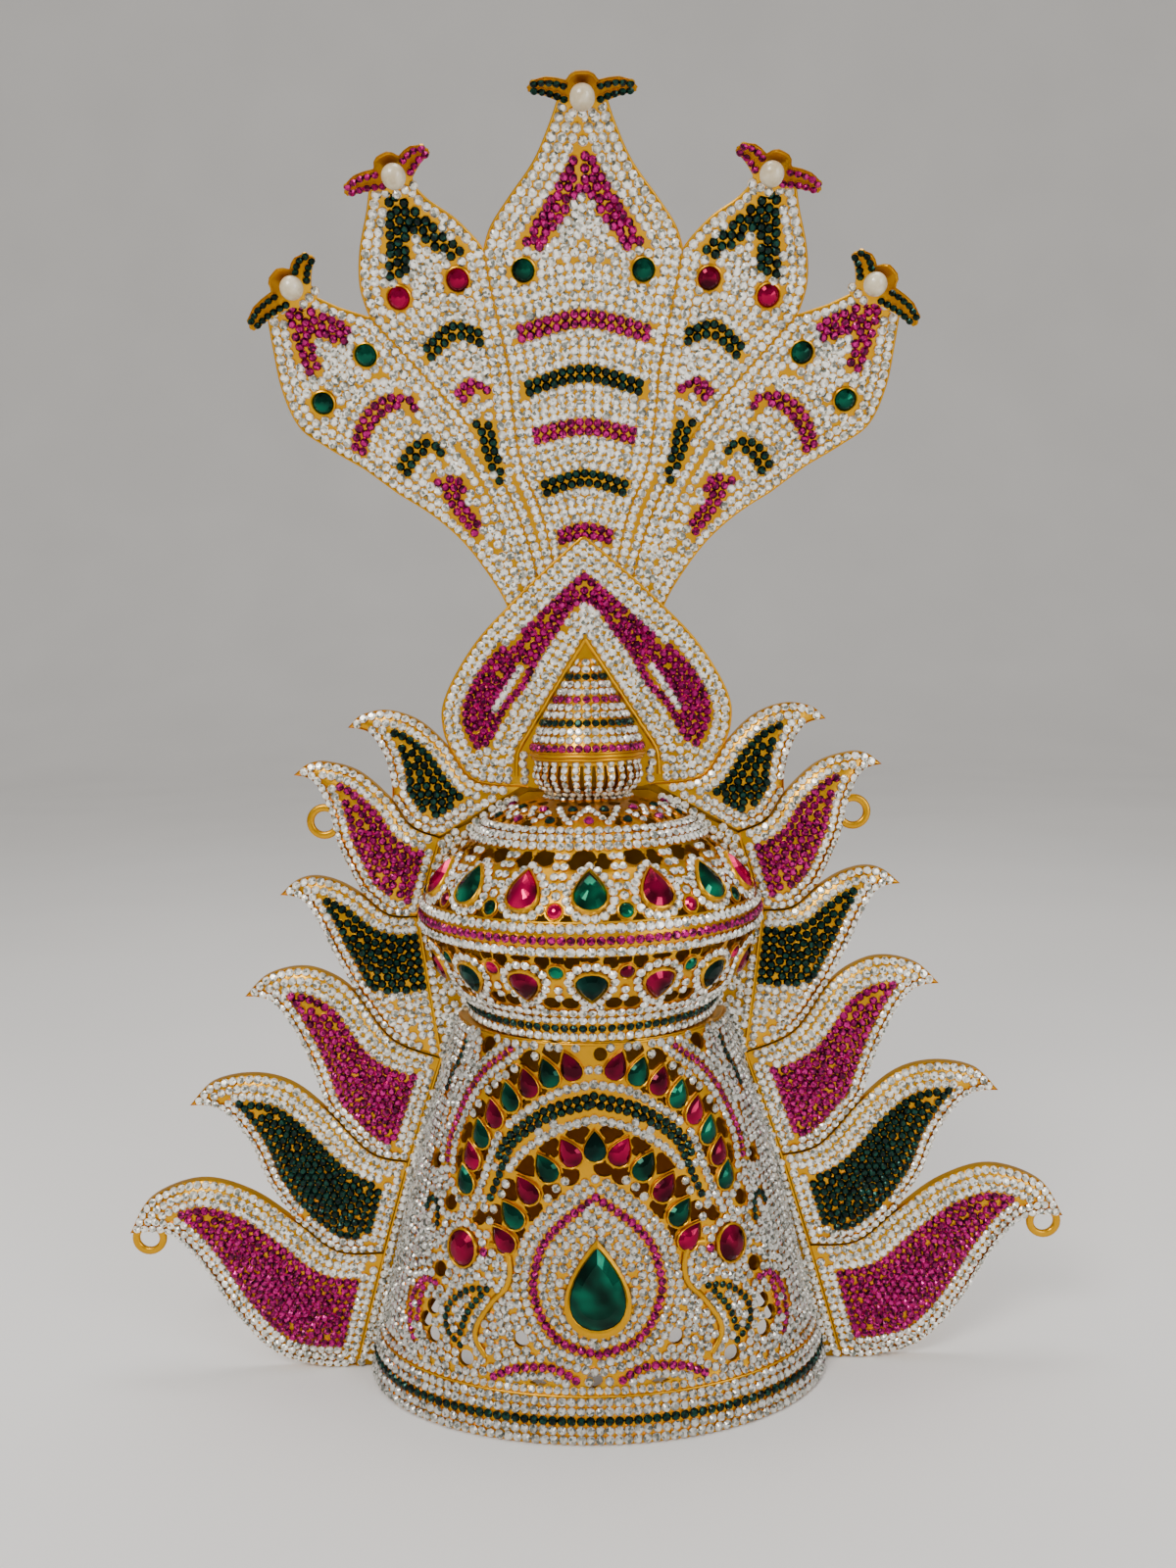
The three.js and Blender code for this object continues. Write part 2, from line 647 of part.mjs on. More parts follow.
function flameGeometry(upper, lower) {
  const front = [];
  const back = [];
  upper.forEach(([ux, uz], k) => {
    const [lx, lz] = lower[k];
    const width = Math.hypot(ux - lx, uz - lz);
    const station = k / (upper.length - 1);
    const frontRow = [];
    const backRow = [];
    FLAME_ACROSS.forEach((v) => {
      const x = lerp(lx, ux, v);
      const z = lerp(lz, uz, v);
      const edge = v === 0 || v === 1 || k === 0;
      const y = -RIM_DEPTH - (edge ? 0 : puffHeight(station, v, width));
      frontRow.push([x, y, z]);
      backRow.push([x, edge || k === upper.length - 1 ? 0 : y + SHEET, z]);
    });
    front.push(frontRow);
    back.push(backRow);
  });
  return sheetGeometry(front, back);
}

// Flat ring behind a flame's edge, for the tying cord.
function loopGeometry([x, z]) {
  const ring = new THREE.Shape();
  ring.absarc(0, 0, LOOP_OUTER_RADIUS, 0, 2 * Math.PI);
  const hole = new THREE.Path();
  hole.absarc(0, 0, LOOP_INNER_RADIUS, 0, 2 * Math.PI, true);
  ring.holes.push(hole);
  const plate = new THREE.ExtrudeGeometry(ring, { depth: LOOP_THICKNESS, bevelEnabled: false, curveSegments: 5 });
  plate.rotateX(Math.PI / 2);
  plate.translate(x, LOOP_THICKNESS - 0.7, z);
  return closedGeometry(cornersOf(plate));
}

const UPPER_EDGES = FLAMES.map(flameUpperEdge);
const LOWER_EDGES = FLAMES.map((flame, k) => flameLowerEdge(flame, UPPER_EDGES[k + 1]));

function makeFlames() {
  const meshes = [];
  FLAMES.forEach((flame, k) => {
    let solid = toSolid(flameGeometry(UPPER_EDGES[k], LOWER_EDGES[k]));
    LOOPS.filter((loop) => loop.flame === k + 1).forEach((loop) => {
      solid = solid.add(toSolid(loopGeometry(loop.centre)));
    });
    const geometry = toGeometry(solid);
    ['right', 'left'].forEach((side) => {
      const mesh = new THREE.Mesh(geometry, metal());
      mesh.name = `flame_${side}_${k + 1}`;
      mesh.scale.x = side === 'left' ? -1 : 1;
      meshes.push(mesh);
    });
  });
  return meshes;
}

// ---------------------------------------------------------------- back plate

function extrudedPlate(outline, frontY, backY, hole) {
  const shape = new THREE.Shape(outline.map(([x, z]) => new THREE.Vector2(x, z)));
  if (hole) {
    shape.holes.push(new THREE.Path(hole.map(([x, z]) => new THREE.Vector2(x, z))));
  }
  const plate = new THREE.ExtrudeGeometry(shape, { depth: backY - frontY, bevelEnabled: false });
  plate.rotateX(Math.PI / 2);
  plate.translate(0, backY, 0);
  return closedGeometry(cornersOf(plate));
}

// Silhouette of drum and dome on the back plate, right half from the foot up.
function bodySide(clearance) {
  const drum = [0, FOOT_BAND_HEIGHT, FOOT_BAND_HEIGHT + 1, 55, 95, DRUM_HEIGHT + GAP / 2].map((z) => (
    [drumHalfWidth(z) + clearance + (z <= FOOT_BAND_HEIGHT ? FOOT_BAND_DEPTH : 0), z]
  ));
  const dome = DOME_PROFILE.map(([r, z]) => [r + clearance, z + clearance / 2]);
  return [...drum, ...dome];
}

function makeBackPlate() {
  const roots = FLAMES.map(({ root }) => root);
  const foot = WING_FOOT[WING_FOOT.length - 1];
  const edge = [...roots, foot].reverse();
  const inside = moved(edge, -2 * GAP);
  const strip = [...inside.slice(0, -1), [21, 207.6], [12, 207.6]];
  const raised = extrudedPlate([...strip, ...mirrored(strip)], -RIM_DEPTH, GAP + BACK_SHEET);
  const under = moved(edge, 12).slice(1, -1);
  const sheetSide = [[foot[0], 0.5], ...under, [30, 222], [14, 231.5]];
  const sheet = extrudedPlate([...sheetSide, ...mirrored(sheetSide)], GAP, GAP + BACK_SHEET);
  const side = bodySide(GAP);
  const body = extrudedPlate([...side, ...mirrored(side)], -RIM_DEPTH - 1, GAP);
  const arch = new THREE.Shape();
  arch.moveTo(-HEAD_OPENING_HALF_WIDTH, -1);
  arch.lineTo(HEAD_OPENING_HALF_WIDTH, -1);
  arch.absellipse(0, 0, HEAD_OPENING_HALF_WIDTH, HEAD_OPENING_HEIGHT, 0, Math.PI);
  const opening = new THREE.ExtrudeGeometry(arch, { depth: 10, bevelEnabled: false, curveSegments: 16 });
  opening.rotateX(Math.PI / 2);
  opening.translate(0, 6, 0);
  const solid = toSolid(raised)
    .subtract(toSolid(body))
    .add(toSolid(sheet))
    .subtract(toSolid(closedGeometry(cornersOf(opening))));
  const mesh = new THREE.Mesh(toGeometry(solid), metal());
  mesh.name = 'back_plate';
  return mesh;
}

// ---------------------------------------------------------------- shield and hood

// Splits triangles along levels of Z, so that a flat plate can be bent smoothly.
function splitAtLevels(corners, levels) {
  let triangles = [];
  for (let k = 0; k < corners.length; k += 9) {
    triangles.push([0, 3, 6].map((n) => corners.slice(k + n, k + n + 3)));
  }
  const crossing = (a, b, level) => {
    const [low, high] = a[2] < b[2] ? [a, b] : [b, a];
    const t = (level - low[2]) / (high[2] - low[2]);
    return [lerp(low[0], high[0], t), lerp(low[1], high[1], t), level];
  };
  levels.forEach((level) => {
    const pieces = [];
    triangles.forEach((corner) => {
      const sides = corner.map((p) => Math.sign(Math.abs(p[2] - level) < 1e-6 ? 0 : p[2] - level));
      if (!(sides.includes(1) && sides.includes(-1))) {
        pieces.push(corner);
        return;
      }
      const lone = sides.findIndex((s) => s !== 0 && sides.filter((other) => other === s).length === 1);
      const [a, b, c] = [corner[lone], corner[(lone + 1) % 3], corner[(lone + 2) % 3]];
      if (sides[(lone + 1) % 3] === 0) {
        const q = crossing(a, c, level);
        pieces.push([a, b, q], [b, c, q]);
        return;
      }
      if (sides[(lone + 2) % 3] === 0) {
        const p = crossing(a, b, level);
        pieces.push([a, p, c], [p, b, c]);
        return;
      }
      const p = crossing(a, b, level);
      const q = crossing(a, c, level);
      pieces.push([a, p, q], [p, b, c], [p, c, q]);
    });
    triangles = pieces;
  });
  return triangles.flat(2);
}

// A plate cut to an outline [x, s] and bent along the shared arc.
function bentPlate(outline, liftFront, liftBack) {
  const flat = extrudedPlate(outline, -liftFront, -liftBack);
  const corners = splitAtLevels(cornersOf(flat), BEND_LEVELS);
  const bent = [];
  for (let k = 0; k < corners.length; k += 3) {
    const [x, y, s] = corners.slice(k, k + 3);
    bent.push(...bentPoint(x, s, -y).toArray());
  }
  return closedGeometry(bent);
}

function makeShield() {
  const lowerSide = moved(UPPER_EDGES[0], 1.3 * GAP)
    .map(([x, z]) => [x, z - BEND_START_Z])
    .filter(([x, s]) => x < 47.5 && s < SHIELD_SIDE[SHIELD_SIDE.length - 1][1]);
  const side = [...smooth(SHIELD_SIDE, 9), ...lowerSide];
  const foot = [[18, -31.2]];
  const outline = [...side, ...foot, ...mirrored([...side.slice(1), ...foot])];
  const mesh = new THREE.Mesh(bentPlate(outline, SHIELD_THICKNESS, 0), metal());
  mesh.name = 'shield';
  return mesh;
}

function makeHood() {
  const edges = HOOD_EDGES;
  const side = [
    ...smooth(edges.centreHead, 5),
    ...smooth(edges.innerHeadTop, 4).slice(1),
    ...smooth(edges.innerHeadSide, 4),
    ...smooth(edges.outerHeadTop, 2).slice(1),
    ...smooth(edges.outerHeadSide, 6),
    ...smooth(edges.stem, 6).slice(1),
    [17, HOOD_FOOT_S],
  ];
  let solid = toSolid(bentPlate([...side, ...mirrored(side)], -GAP, -GAP - HOOD_SHEET));
  HEADS.flatMap(({ eyes }) => eyes).forEach(([x, s]) => {
    [-x, x].forEach((across) => {
      const eye = joinedStone(roundOutline(6), 2 * EYE_RADIUS, 2 * EYE_RADIUS, 2.2);
      const seat = seatMatrix(bentPoint(across, s, -GAP), bentNormal(s), bentUp(s));
      solid = solid.add(toSolid(eye.applyMatrix4(seat)));
    });
  });
  const mesh = new THREE.Mesh(toGeometry(solid), metal());
  mesh.name = 'naga_hood';
  return mesh;
}

// ---------------------------------------------------------------- crests and pearls

// The crest leaf stands on the front of a head and curls forward like a visor.
function crestGeometry(leftScale, rightScale) {
  const wing = (scale) => CREST_COLUMNS.map((column) => ({ ...column, across: scale * column.across }));
  const columns = [...wing(-leftScale).slice(1).reverse(), ...wing(rightScale)];
  const grid = (lift) => [0, 0.5, 1].map((row) => columns.map(({ across, lower, upper }) => {
    const height = lerp(lower, upper, row);
    const curl = CREST_CURL * Math.max(0, height - CREST_CURL_START) ** 2;
    return [across, height, GAP + lift + curl];
  }));
  return sheetGeometry(grid(CREST_SHEET), grid(0));
}

function makeCrestsAndPearls() {
  const meshes = [];
  HEADS.forEach(({ name, seat: [x, s], tilt, wings: [inner, outer] }) => {
    const sides = x === 0 ? [0] : [-1, 1];
    sides.forEach((side) => {
      const label = side === 0 ? name : `${name}_${side < 0 ? 'left' : 'right'}`;
      const seat = seatMatrix(bentPoint(side * x, s, -GAP), bentNormal(s), bentUp(s), degrees(-side * tilt));
      const leaf = side < 0 ? crestGeometry(outer, inner) : crestGeometry(inner, outer);
      const crest = new THREE.Mesh(leaf, metal());
      crest.name = `crest_${label}`;
      seat.decompose(crest.position, crest.quaternion, crest.scale);
      const ball = new THREE.SphereGeometry(PEARL_RADIUS, 9, 6);
      const pearl = new THREE.Mesh(closedGeometry(cornersOf(ball)), pearlSkin());
      pearl.name = `pearl_${label}`;
      pearl.position.set(0, -0.3, PEARL_LIFT).applyMatrix4(seat);
      meshes.push(crest, pearl);
    });
  });
  return meshes;
}

// ---------------------------------------------------------------- assembly

// The hood and what it carries lean a little to the right, about the shield's foot.
function leaningHood() {
  const carried = new THREE.Group();
  carried.add(makeHood(), ...makeCrestsAndPearls());
  carried.position.z = -BEND_START_Z;
  const pivot = new THREE.Group();
  pivot.add(carried);
  pivot.position.z = BEND_START_Z;
  pivot.rotation.y = degrees(HOOD_LEAN);
  return pivot;
}

const crown = new THREE.Group();
crown.add(
  makeBackPlate(),
  makeDrum(),
  makeDome(),
  ...makeDrumDrops(),
  ...makeDomeDrops(),
  ...makeFinial(),
  makeShield(),
  leaningHood(),
  ...makeFlames(),
);

// The origin is the middle of the whole crown's footprint, on the surface it stands on.
const bounds = new THREE.Box3().setFromObject(crown, true);
const middle = bounds.getCenter(new THREE.Vector3());
crown.position.set(-middle.x, -middle.y, -bounds.min.z);

const group = new THREE.Group();
group.add(crown);

export default group;
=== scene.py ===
"""Deity crown in gold-colored metal set with small stones.

Lengths are millimetres in the crown's own axes: X to the viewer's right, Z up, the
front faces -Y, and Y = 0 is the plane that the flames' edges lie on. They become
metres in the frame when a piece is made. Angles on round walls are degrees from the
front, positive to the viewer's right. A surface is a function that turns two measures
of its own and a lift into points; spots are pairs of those two measures.
"""
import math

import bpy
import numpy as np
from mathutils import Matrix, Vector
from mathutils.bvhtree import BVHTree
from mathutils.geometry import delaunay_2d_cdt
from mathutils.kdtree import KDTree


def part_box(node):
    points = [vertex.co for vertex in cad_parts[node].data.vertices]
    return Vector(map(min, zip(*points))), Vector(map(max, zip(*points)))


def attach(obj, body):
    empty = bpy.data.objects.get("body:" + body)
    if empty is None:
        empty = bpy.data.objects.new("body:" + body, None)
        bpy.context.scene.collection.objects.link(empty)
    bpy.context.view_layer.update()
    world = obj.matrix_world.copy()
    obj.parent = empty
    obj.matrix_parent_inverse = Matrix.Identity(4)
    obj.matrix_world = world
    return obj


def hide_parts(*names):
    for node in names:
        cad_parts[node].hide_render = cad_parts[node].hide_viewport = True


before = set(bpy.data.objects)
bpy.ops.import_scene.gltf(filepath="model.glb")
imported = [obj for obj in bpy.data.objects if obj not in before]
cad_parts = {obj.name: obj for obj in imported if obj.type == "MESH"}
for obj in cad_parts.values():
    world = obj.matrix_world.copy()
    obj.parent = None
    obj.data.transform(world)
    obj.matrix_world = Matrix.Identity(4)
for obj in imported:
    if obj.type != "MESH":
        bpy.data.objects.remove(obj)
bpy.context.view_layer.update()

# ---------------------------------------------------------------- driving dimensions

MM = 0.001
GAP = 0.3                 # clearance between neighbouring solids
SHEET = 1.6               # embossed sheet
RIM_DEPTH = 2.5           # turned-back edge of a flame
PUFF = 4.6                # embossing above the edge
BACK_SHEET = 1.5
DRUM_HEIGHT = 131.0
DRUM_HALF_WIDTH = 80.0
DRUM_DEPTH = 49.0
DRUM_TAPER = 0.18         # lost from the half width for each mm of height
DRUM_CURVE = 0.00058
DRUM_DEPTH_TAPER = 0.05
FOOT_BAND_HEIGHT = 17.0
FOOT_BAND_DEPTH = 1.0
FOOT_BAND_SLOPE = 1.2
PIERCED = 1.2             # pierced wall of drum and dome
DROP_PITCH = 22.5
UPPER_DROP_Z = 181.5
LOWER_DROP_Z = 152.0
BEND_START_Z = 240.0
BEND_RADIUS = 294.0
SHIELD_TIP = 54.5
SHIELD_THICKNESS = 2.4
HOOD_SHEET = 2.0
HOOD_LEAN = math.radians(0.7)
FINIAL_SPLIT_Z = 221.0
FINIAL_LEAST = 0.3        # radius at the very tip
PEARL_RADIUS = 3.6
EYE_RADIUS = 3.9
CHATON = 3.04             # width of a small stone
PITCH = 2.9               # from one small stone to the next
BODY_PITCH = 3.05         # the same on drum and dome
SHARP_EDGE = math.radians(50)
WIRE_STEP = 1.6
WIRE_SIDES = 8
ROOT_WIRE = 0.55          # radius of the wire along the flames' roots
THIN_WIRE = 0.3
TRIM_WIRE = 0.45
SIDES = ((1, "right"), (-1, "left"))
SEED = 7

Y_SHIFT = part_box("back_plate")[1].y / MM - GAP - BACK_SHEET

FLAME_EDGE = ("tip", "brow", "crest", "slope", "neck", "valley", "root")
FLAME_COLUMNS = FLAME_EDGE + ("throat", "chest", "belly", "joint")
FLAMES = [dict(zip(FLAME_COLUMNS, row)) for row in (
    ((82.2, 231), (77.5, 235.3), (68.4, 236.8), (57.8, 233.1), (48.5, 224.5), (39.5, 212),
     (23, 209.6), (75, 229), (70, 221), (67.9, 212), (67.3, 205.5)),
    ((101.5, 215), (96.5, 218.8), (90, 219.4), (79, 215.8), (68.2, 206), (61.5, 196.3),
     (52.2, 192.3), (94.5, 212.3), (89.6, 202), (86.9, 190), (82.3, 175)),
    ((108, 173.2), (102.5, 178), (96, 179.6), (88, 177.7), (79.5, 172.7), (70.5, 165.3),
     (60.8, 164.4), (100, 171), (94.2, 161.8), (89.8, 152), (86.2, 143.5)),
    ((121.8, 137.4), (114.5, 144.5), (103.5, 147.5), (93.5, 145.5), (83.3, 138.2), (70.7, 120.9),
     (54.2, 113.8), (112.5, 135.2), (105, 125), (99, 110.8), (92.4, 93.5)),
    ((143.1, 98.4), (135, 106.5), (121, 109.2), (107.5, 106), (95, 96), (80, 79.8),
     (66.9, 76), (132, 96.5), (122, 84.5), (116, 69), (110, 58.2)),
    ((166.8, 51.7), (159, 64.5), (141, 71), (123, 66), (107, 54.5), (93, 43.5),
     (76.7, 42.4), (152, 51), (141.5, 39.5), (130, 20.5), (116, 5.6)),
)]
WING_FOOT = [(98, 0.4), (88, 0.6)]
LOOPS = {2: (92.2, 198.3), 6: (161, 48.5)}
LOOP_OUTER = 6.2
LOOP_INNER = 3.5
LOOP_THICKNESS = 2.0

# Profiles of radius and height.
DOME_PROFILE = [
    (42.5, DRUM_HEIGHT + GAP), (44, 138), (52.3, 149.5), (58, 163), (58.2, 170),
    (54.6, 179), (48.6, 186.2), (41.5, 192), (36.5, 197.5), (27, 203), (8, 206.8),
]
CONE_PROFILE = [
    (19, FINIAL_SPLIT_Z + GAP), (18.6, 223.5), (15, 231.5), (10.3, 239.3), (5.6, 247), (1.4, 253),
]
CUP_PROFILE = [
    (12.5, 207.3), (16, 209.5), (18.2, 213.5), (17.4, 218), (19, 220.2), (19, FINIAL_SPLIT_Z),
]
# Right-hand outlines of x and length along the bent plates.
SHIELD_SIDE = [
    (0, SHIELD_TIP), (14, 42.4), (25.9, 31.1), (36.9, 19.5), (45.3, 6.7), (49.3, -3.3), (49, -11.5),
]
SHIELD_FOOT = (18, -31.2)
HOOD_CENTRE_HEAD = [(6.8, 183.6), (9.5, 176.8), (14.4, 167.2), (21.8, 157.9), (27.8, 149.8),
                    (30.5, 142.7)]
HOOD_INNER_TOP = [(30.5, 142.7), (33, 146), (39.1, 152), (47, 157.3), (51.9, 162.8)]
HOOD_INNER_SIDE = [(63.6, 160), (65, 154), (68.3, 143), (69.3, 132.5), (67, 123.3)]
HOOD_OUTER_TOP = [(67, 123.3), (76.7, 126.3), (87.1, 131)]
HOOD_OUTER_SIDE = [(99.4, 126.3), (98.8, 115), (97.4, 101.8), (93.1, 90.5), (85.1, 84.3), (72.8, 77)]
HOOD_STEM = [(72.8, 77), (61.9, 68.8), (50.5, 61.5), (40.1, 52), (31, 39.5), (26.2, 30.5),
             (18.8, 12), (16.8, -4)]
HOOD_FOOT = (17, -8)
DIVIDER_A = [(30.5, 142.7), (28.5, 130), (24.3, 108.5), (23.5, 96.5), (21, 78), (15, 63), (12, 51),
             (8, 30)]
DIVIDER_B = [(67, 123.3), (60, 115.5), (53.3, 108), (42.5, 96), (38.2, 90.5), (30.6, 78.8),
             (23.2, 63.4), (18, 48), (14, 30)]

# Crests: name, seat of the pearl, tilt, and scale of the wing toward the middle and of the other.
HEADS = [
    ("centre", (0, 186), 0, (1, 1)),
    ("inner", (55.2, 165.4), 24, (0.76, 1.05)),
    ("outer", (89.4, 134), 44, (0.68, 1.28)),
]
CREST_ACROSS = [0, 1.8, 3.3, 4.4, 7.4, 10.3, 13.3, 15.4]
CREST_LOWER = [-7.5, -7.4, -7.0, -3.9, -2.4, -1.2, -0.4, 0.2]
CREST_UPPER = [6.7, 6.6, 5.7, 3.8, 4.6, 4.9, 4.0, 2.0]
CREST_TRIM = 0.3          # taken off the crests' upper edges
CREST_SHEET = 1.3
CREST_CURL = 0.05
CREST_CURL_START = -6.0
PEARL_LIFT = 8.0


# ---------------------------------------------------------------- helpers

def curve(points, per_span=8):
    """Smooth curve through a few points, with the same number of steps between each pair."""
    p = np.asarray(points, float)
    a, b = p[:-1], p[1:]
    before = np.vstack([p[:1], p[:-2]])
    after = np.vstack([p[2:], p[-1:]])
    va, vb = (b - before) / 2, (after - a) / 2
    t = (np.arange(per_span) / per_span)[:, None, None]
    rows = (2 * a - 2 * b + va + vb) * t**3 + (3 * b - 3 * a - 2 * va - vb) * t**2 + va * t + a
    return np.vstack([rows.transpose(1, 0, 2).reshape(-1, p.shape[1]), p[-1:]])


def unit(v):
    return v / np.maximum(np.linalg.norm(v, axis=-1, keepdims=True), 1e-12)


def xyz(x, y, z):
    return np.stack(np.broadcast_arrays(x, y, z), axis=-1)


def travelled(path):
    steps = np.linalg.norm(np.diff(path, axis=0), axis=1)
    return np.concatenate([[0.0], np.cumsum(steps)])


def at_lengths(path, lengths, total=None):
    """Points of a path at lengths along it, or along another path with the same points."""
    total = travelled(path) if total is None else total
    return np.stack([np.interp(lengths, total, column) for column in path.T], axis=1)


def resample(path, spacing):
    """Points at even steps along a path, as close to the spacing as fits."""
    path = np.asarray(path, float)
    length = travelled(path)[-1]
    count = max(1, int(round(length / spacing)))
    return at_lengths(path, np.linspace(0, length, count + 1))


def closed_path(outline):
    return np.vstack([outline, outline[:1]])


def even_loop(outline, spacing):
    """Points at even steps round a closed outline, the first one not repeated."""
    return resample(closed_path(outline), spacing)[:-1]


def smoothstep(x):
    x = np.clip(x, 0, 1)
    return x * x * (3 - 2 * x)


def mirror(path):
    """The same path on the other side, run through backward."""
    return (np.asarray(path, float) * (-1, 1))[::-1]


def inside(points, polygon):
    """True for each point that lies in the polygon."""
    x, y = points[:, 0][:, None], points[:, 1][:, None]
    a, b = polygon, np.roll(polygon, -1, axis=0)
    crosses = (a[:, 1] > y) != (b[:, 1] > y)
    slope = (b[:, 0] - a[:, 0]) / np.where(b[:, 1] == a[:, 1], 1e-9, b[:, 1] - a[:, 1])
    return (crosses & (x < a[:, 0] + slope * (y - a[:, 1]))).sum(axis=1) % 2 == 1


def clearance(points, path):
    """Distance from each point to the nearest point of a densely stepped path."""
    return np.linalg.norm(points[:, None, :] - path[None, :, :], axis=2).min(axis=1)


def headings(path, closed=False):
    """From the point before to the point after each point of a path."""
    if closed:
        return np.roll(path, -1, axis=0) - np.roll(path, 1, axis=0)
    return np.vstack([path[1:], path[-1:]]) - np.vstack([path[:1], path[:-1]])


def rightward(path, closed=False):
    """Unit steps toward the right of a flat path's direction."""
    along = unit(headings(path, closed))
    return np.stack([along[:, 1], -along[:, 0]], axis=1)


def moved(path, distance):
    """A path moved sideways, toward the right of its direction."""
    path = np.asarray(path, float)
    return path + distance * rightward(path)


EDGE_STEP = 0.45          # step of the outline that rows follow inward
ROW_BREAK = 1.2           # jump that parts a row in two, in pitches
ROW_SLACK = 0.15          # how far a row may come inside its depth
PROBE = 0.3               # step that tells the inside of an outline from its outside


def inset_rows(outline, first, pitch, count):
    """Rows that follow a closed outline inward: [(row number, path), ...]."""
    dense = even_loop(outline, EDGE_STEP)
    side = rightward(dense, closed=True)
    if not inside(dense[:1] + side[:1] * PROBE, dense)[0]:
        side = -side
    rows = []
    for k in range(count):
        depth = first + k * pitch
        line = dense + side * depth
        line = line[(clearance(line, dense) > depth - ROW_SLACK) & inside(line, dense)]
        if len(line) < 2:
            break
        jumps = np.linalg.norm(np.diff(closed_path(line), axis=0), axis=1) > ROW_BREAK * pitch
        start = int(np.argmax(jumps)) + 1 if jumps.any() else 0
        line = np.vstack([line[start:], line[:start]])
        if not jumps.any():
            line = closed_path(line)
        breaks = np.where(np.linalg.norm(np.diff(line, axis=0), axis=1) > ROW_BREAK * pitch)[0] + 1
        rows += [(k, part) for part in np.split(line, breaks) if len(part) > 1]
    return rows


def hex_spots(low, high, pitch):
    """Spots of a closely packed pattern over a rectangle."""
    spots = []
    for j, v in enumerate(np.arange(low[1], high[1], pitch * math.sqrt(3) / 2)):
        start = low[0] + (pitch / 2 if j % 2 else 0)
        spots += [(u, v) for u in np.arange(start, high[0], pitch)]
    return np.array(spots)


def meshed(points, links):
    """Triangles over points in the plane, with the linked pairs kept as edges, and their middles."""
    made = delaunay_2d_cdt([Vector(p) for p in points], links, [], 0, 1e-5)
    spots = np.array([tuple(v) for v in made[0]])
    triangles = np.array([list(t) for t in made[2]])
    return spots, triangles, spots[triangles].mean(axis=1)


class Build:
    """Points and faces gathered into one mesh."""

    def __init__(self):
        self.points = []
        self.faces = []
        self.count = 0

    def add(self, points, faces):
        points = np.asarray(points, float).reshape(-1, 3)
        self.points.append(points)
        self.faces += [[i + self.count for i in face] for face in faces]
        self.count += len(points)
        return self

    def grid(self, rows, closed=False, flip=False):
        """A skin over rows of points; closed joins each row's end to its start."""
        rows = np.asarray(rows, float)
        high, wide = rows.shape[:2]
        faces = []
        for i in range(high - 1):
            for j in range(wide if closed else wide - 1):
                k = (j + 1) % wide
                face = [i * wide + j, i * wide + k, (i + 1) * wide + k, (i + 1) * wide + j]
                faces.append(face[::-1] if flip else face)
        return self.add(rows.reshape(-1, 3), faces)

    def tube(self, path, radius, sides=6, squash=1.0, normal=(0.0, -1.0, 0.0)):
        """A wire along a path, with closed ends."""
        along = unit(headings(path))
        across = unit(np.cross(along, normal))
        up = np.cross(across, along)
        turn = 2 * np.pi * np.arange(sides) / sides
        ring = (across[:, None, :] * np.cos(turn)[None, :, None]
                + up[:, None, :] * np.sin(turn)[None, :, None] * squash)
        self.grid(path[:, None, :] + ring * radius, closed=True)
        end = self.count - sides
        start = self.count - len(path) * sides
        self.faces.append([start + j for j in range(sides)][::-1])
        self.faces.append([end + j for j in range(sides)])
        return self


def joined(*builds):
    whole = Build()
    for build in builds:
        whole.add(np.vstack(build.points), build.faces)
    return whole


def piece(name, build, material, slot, smooth=True, replaces=()):
    """Makes one object in the frame from gathered points and faces."""
    points = (np.vstack(build.points) + (0, Y_SHIFT, 0)) * MM
    mesh = bpy.data.meshes.new(name)
    mesh.from_pydata(points.tolist(), [], build.faces)
    mesh.validate()
    mesh.materials.append(material)
    mesh.polygons.foreach_set("use_smooth", [smooth] * len(mesh.polygons))
    mesh.update()
    made = bpy.data.objects.new(name, mesh)
    bpy.context.scene.collection.objects.link(made)
    if smooth:
        mesh.set_sharp_from_angle(angle=SHARP_EDGE)
    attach(made, "root")
    if replaces:
        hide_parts(*replaces)


# ---------------------------------------------------------------- surfaces

def drum_point(angle, z, lift=0.0):
    a = np.radians(angle)
    z = np.asarray(z, float)
    band = FOOT_BAND_DEPTH * (1 - smoothstep((z - FOOT_BAND_HEIGHT) / FOOT_BAND_SLOPE))
    wide = DRUM_HALF_WIDTH - DRUM_TAPER * z - DRUM_CURVE * z * z + band + lift
    deep = DRUM_DEPTH - DRUM_DEPTH_TAPER * z + band + lift
    return xyz(wide * np.sin(a), -deep * np.cos(a), z)


DOME_CURVE = curve(DOME_PROFILE, 10)
DOME_LENGTHS = travelled(DOME_CURVE)


def dome_s(z):
    """Length along the dome's profile at a height."""
    return float(np.interp(z, DOME_CURVE[:, 1], DOME_LENGTHS))


def profile_at(profile, lengths, s):
    s = np.clip(np.asarray(s, float), 0, lengths[-1])
    return np.interp(s, lengths, profile[:, 0]), np.interp(s, lengths, profile[:, 1])


def dome_point(angle, s, lift=0.0):
    a = np.radians(angle)
    r, z = profile_at(DOME_CURVE, DOME_LENGTHS, s)
    r = r + lift
    return xyz(r * np.sin(a), -r * np.cos(a), z)


def bent_point(x, s, lift=0.0):
    """The plane behind the finial, which bends forward from its start upward."""
    s = np.asarray(s, float)
    turn = np.maximum(s, 0) / BEND_RADIUS
    radius = BEND_RADIUS - lift
    y = np.where(s <= 0, -lift, radius * np.cos(turn) - BEND_RADIUS)
    z = np.where(s <= 0, BEND_START_Z + s, BEND_START_Z + radius * np.sin(turn))
    return xyz(x, y, z)


def shield_point(x, s, lift=0.0):
    return bent_point(x, s, SHIELD_THICKNESS + lift)


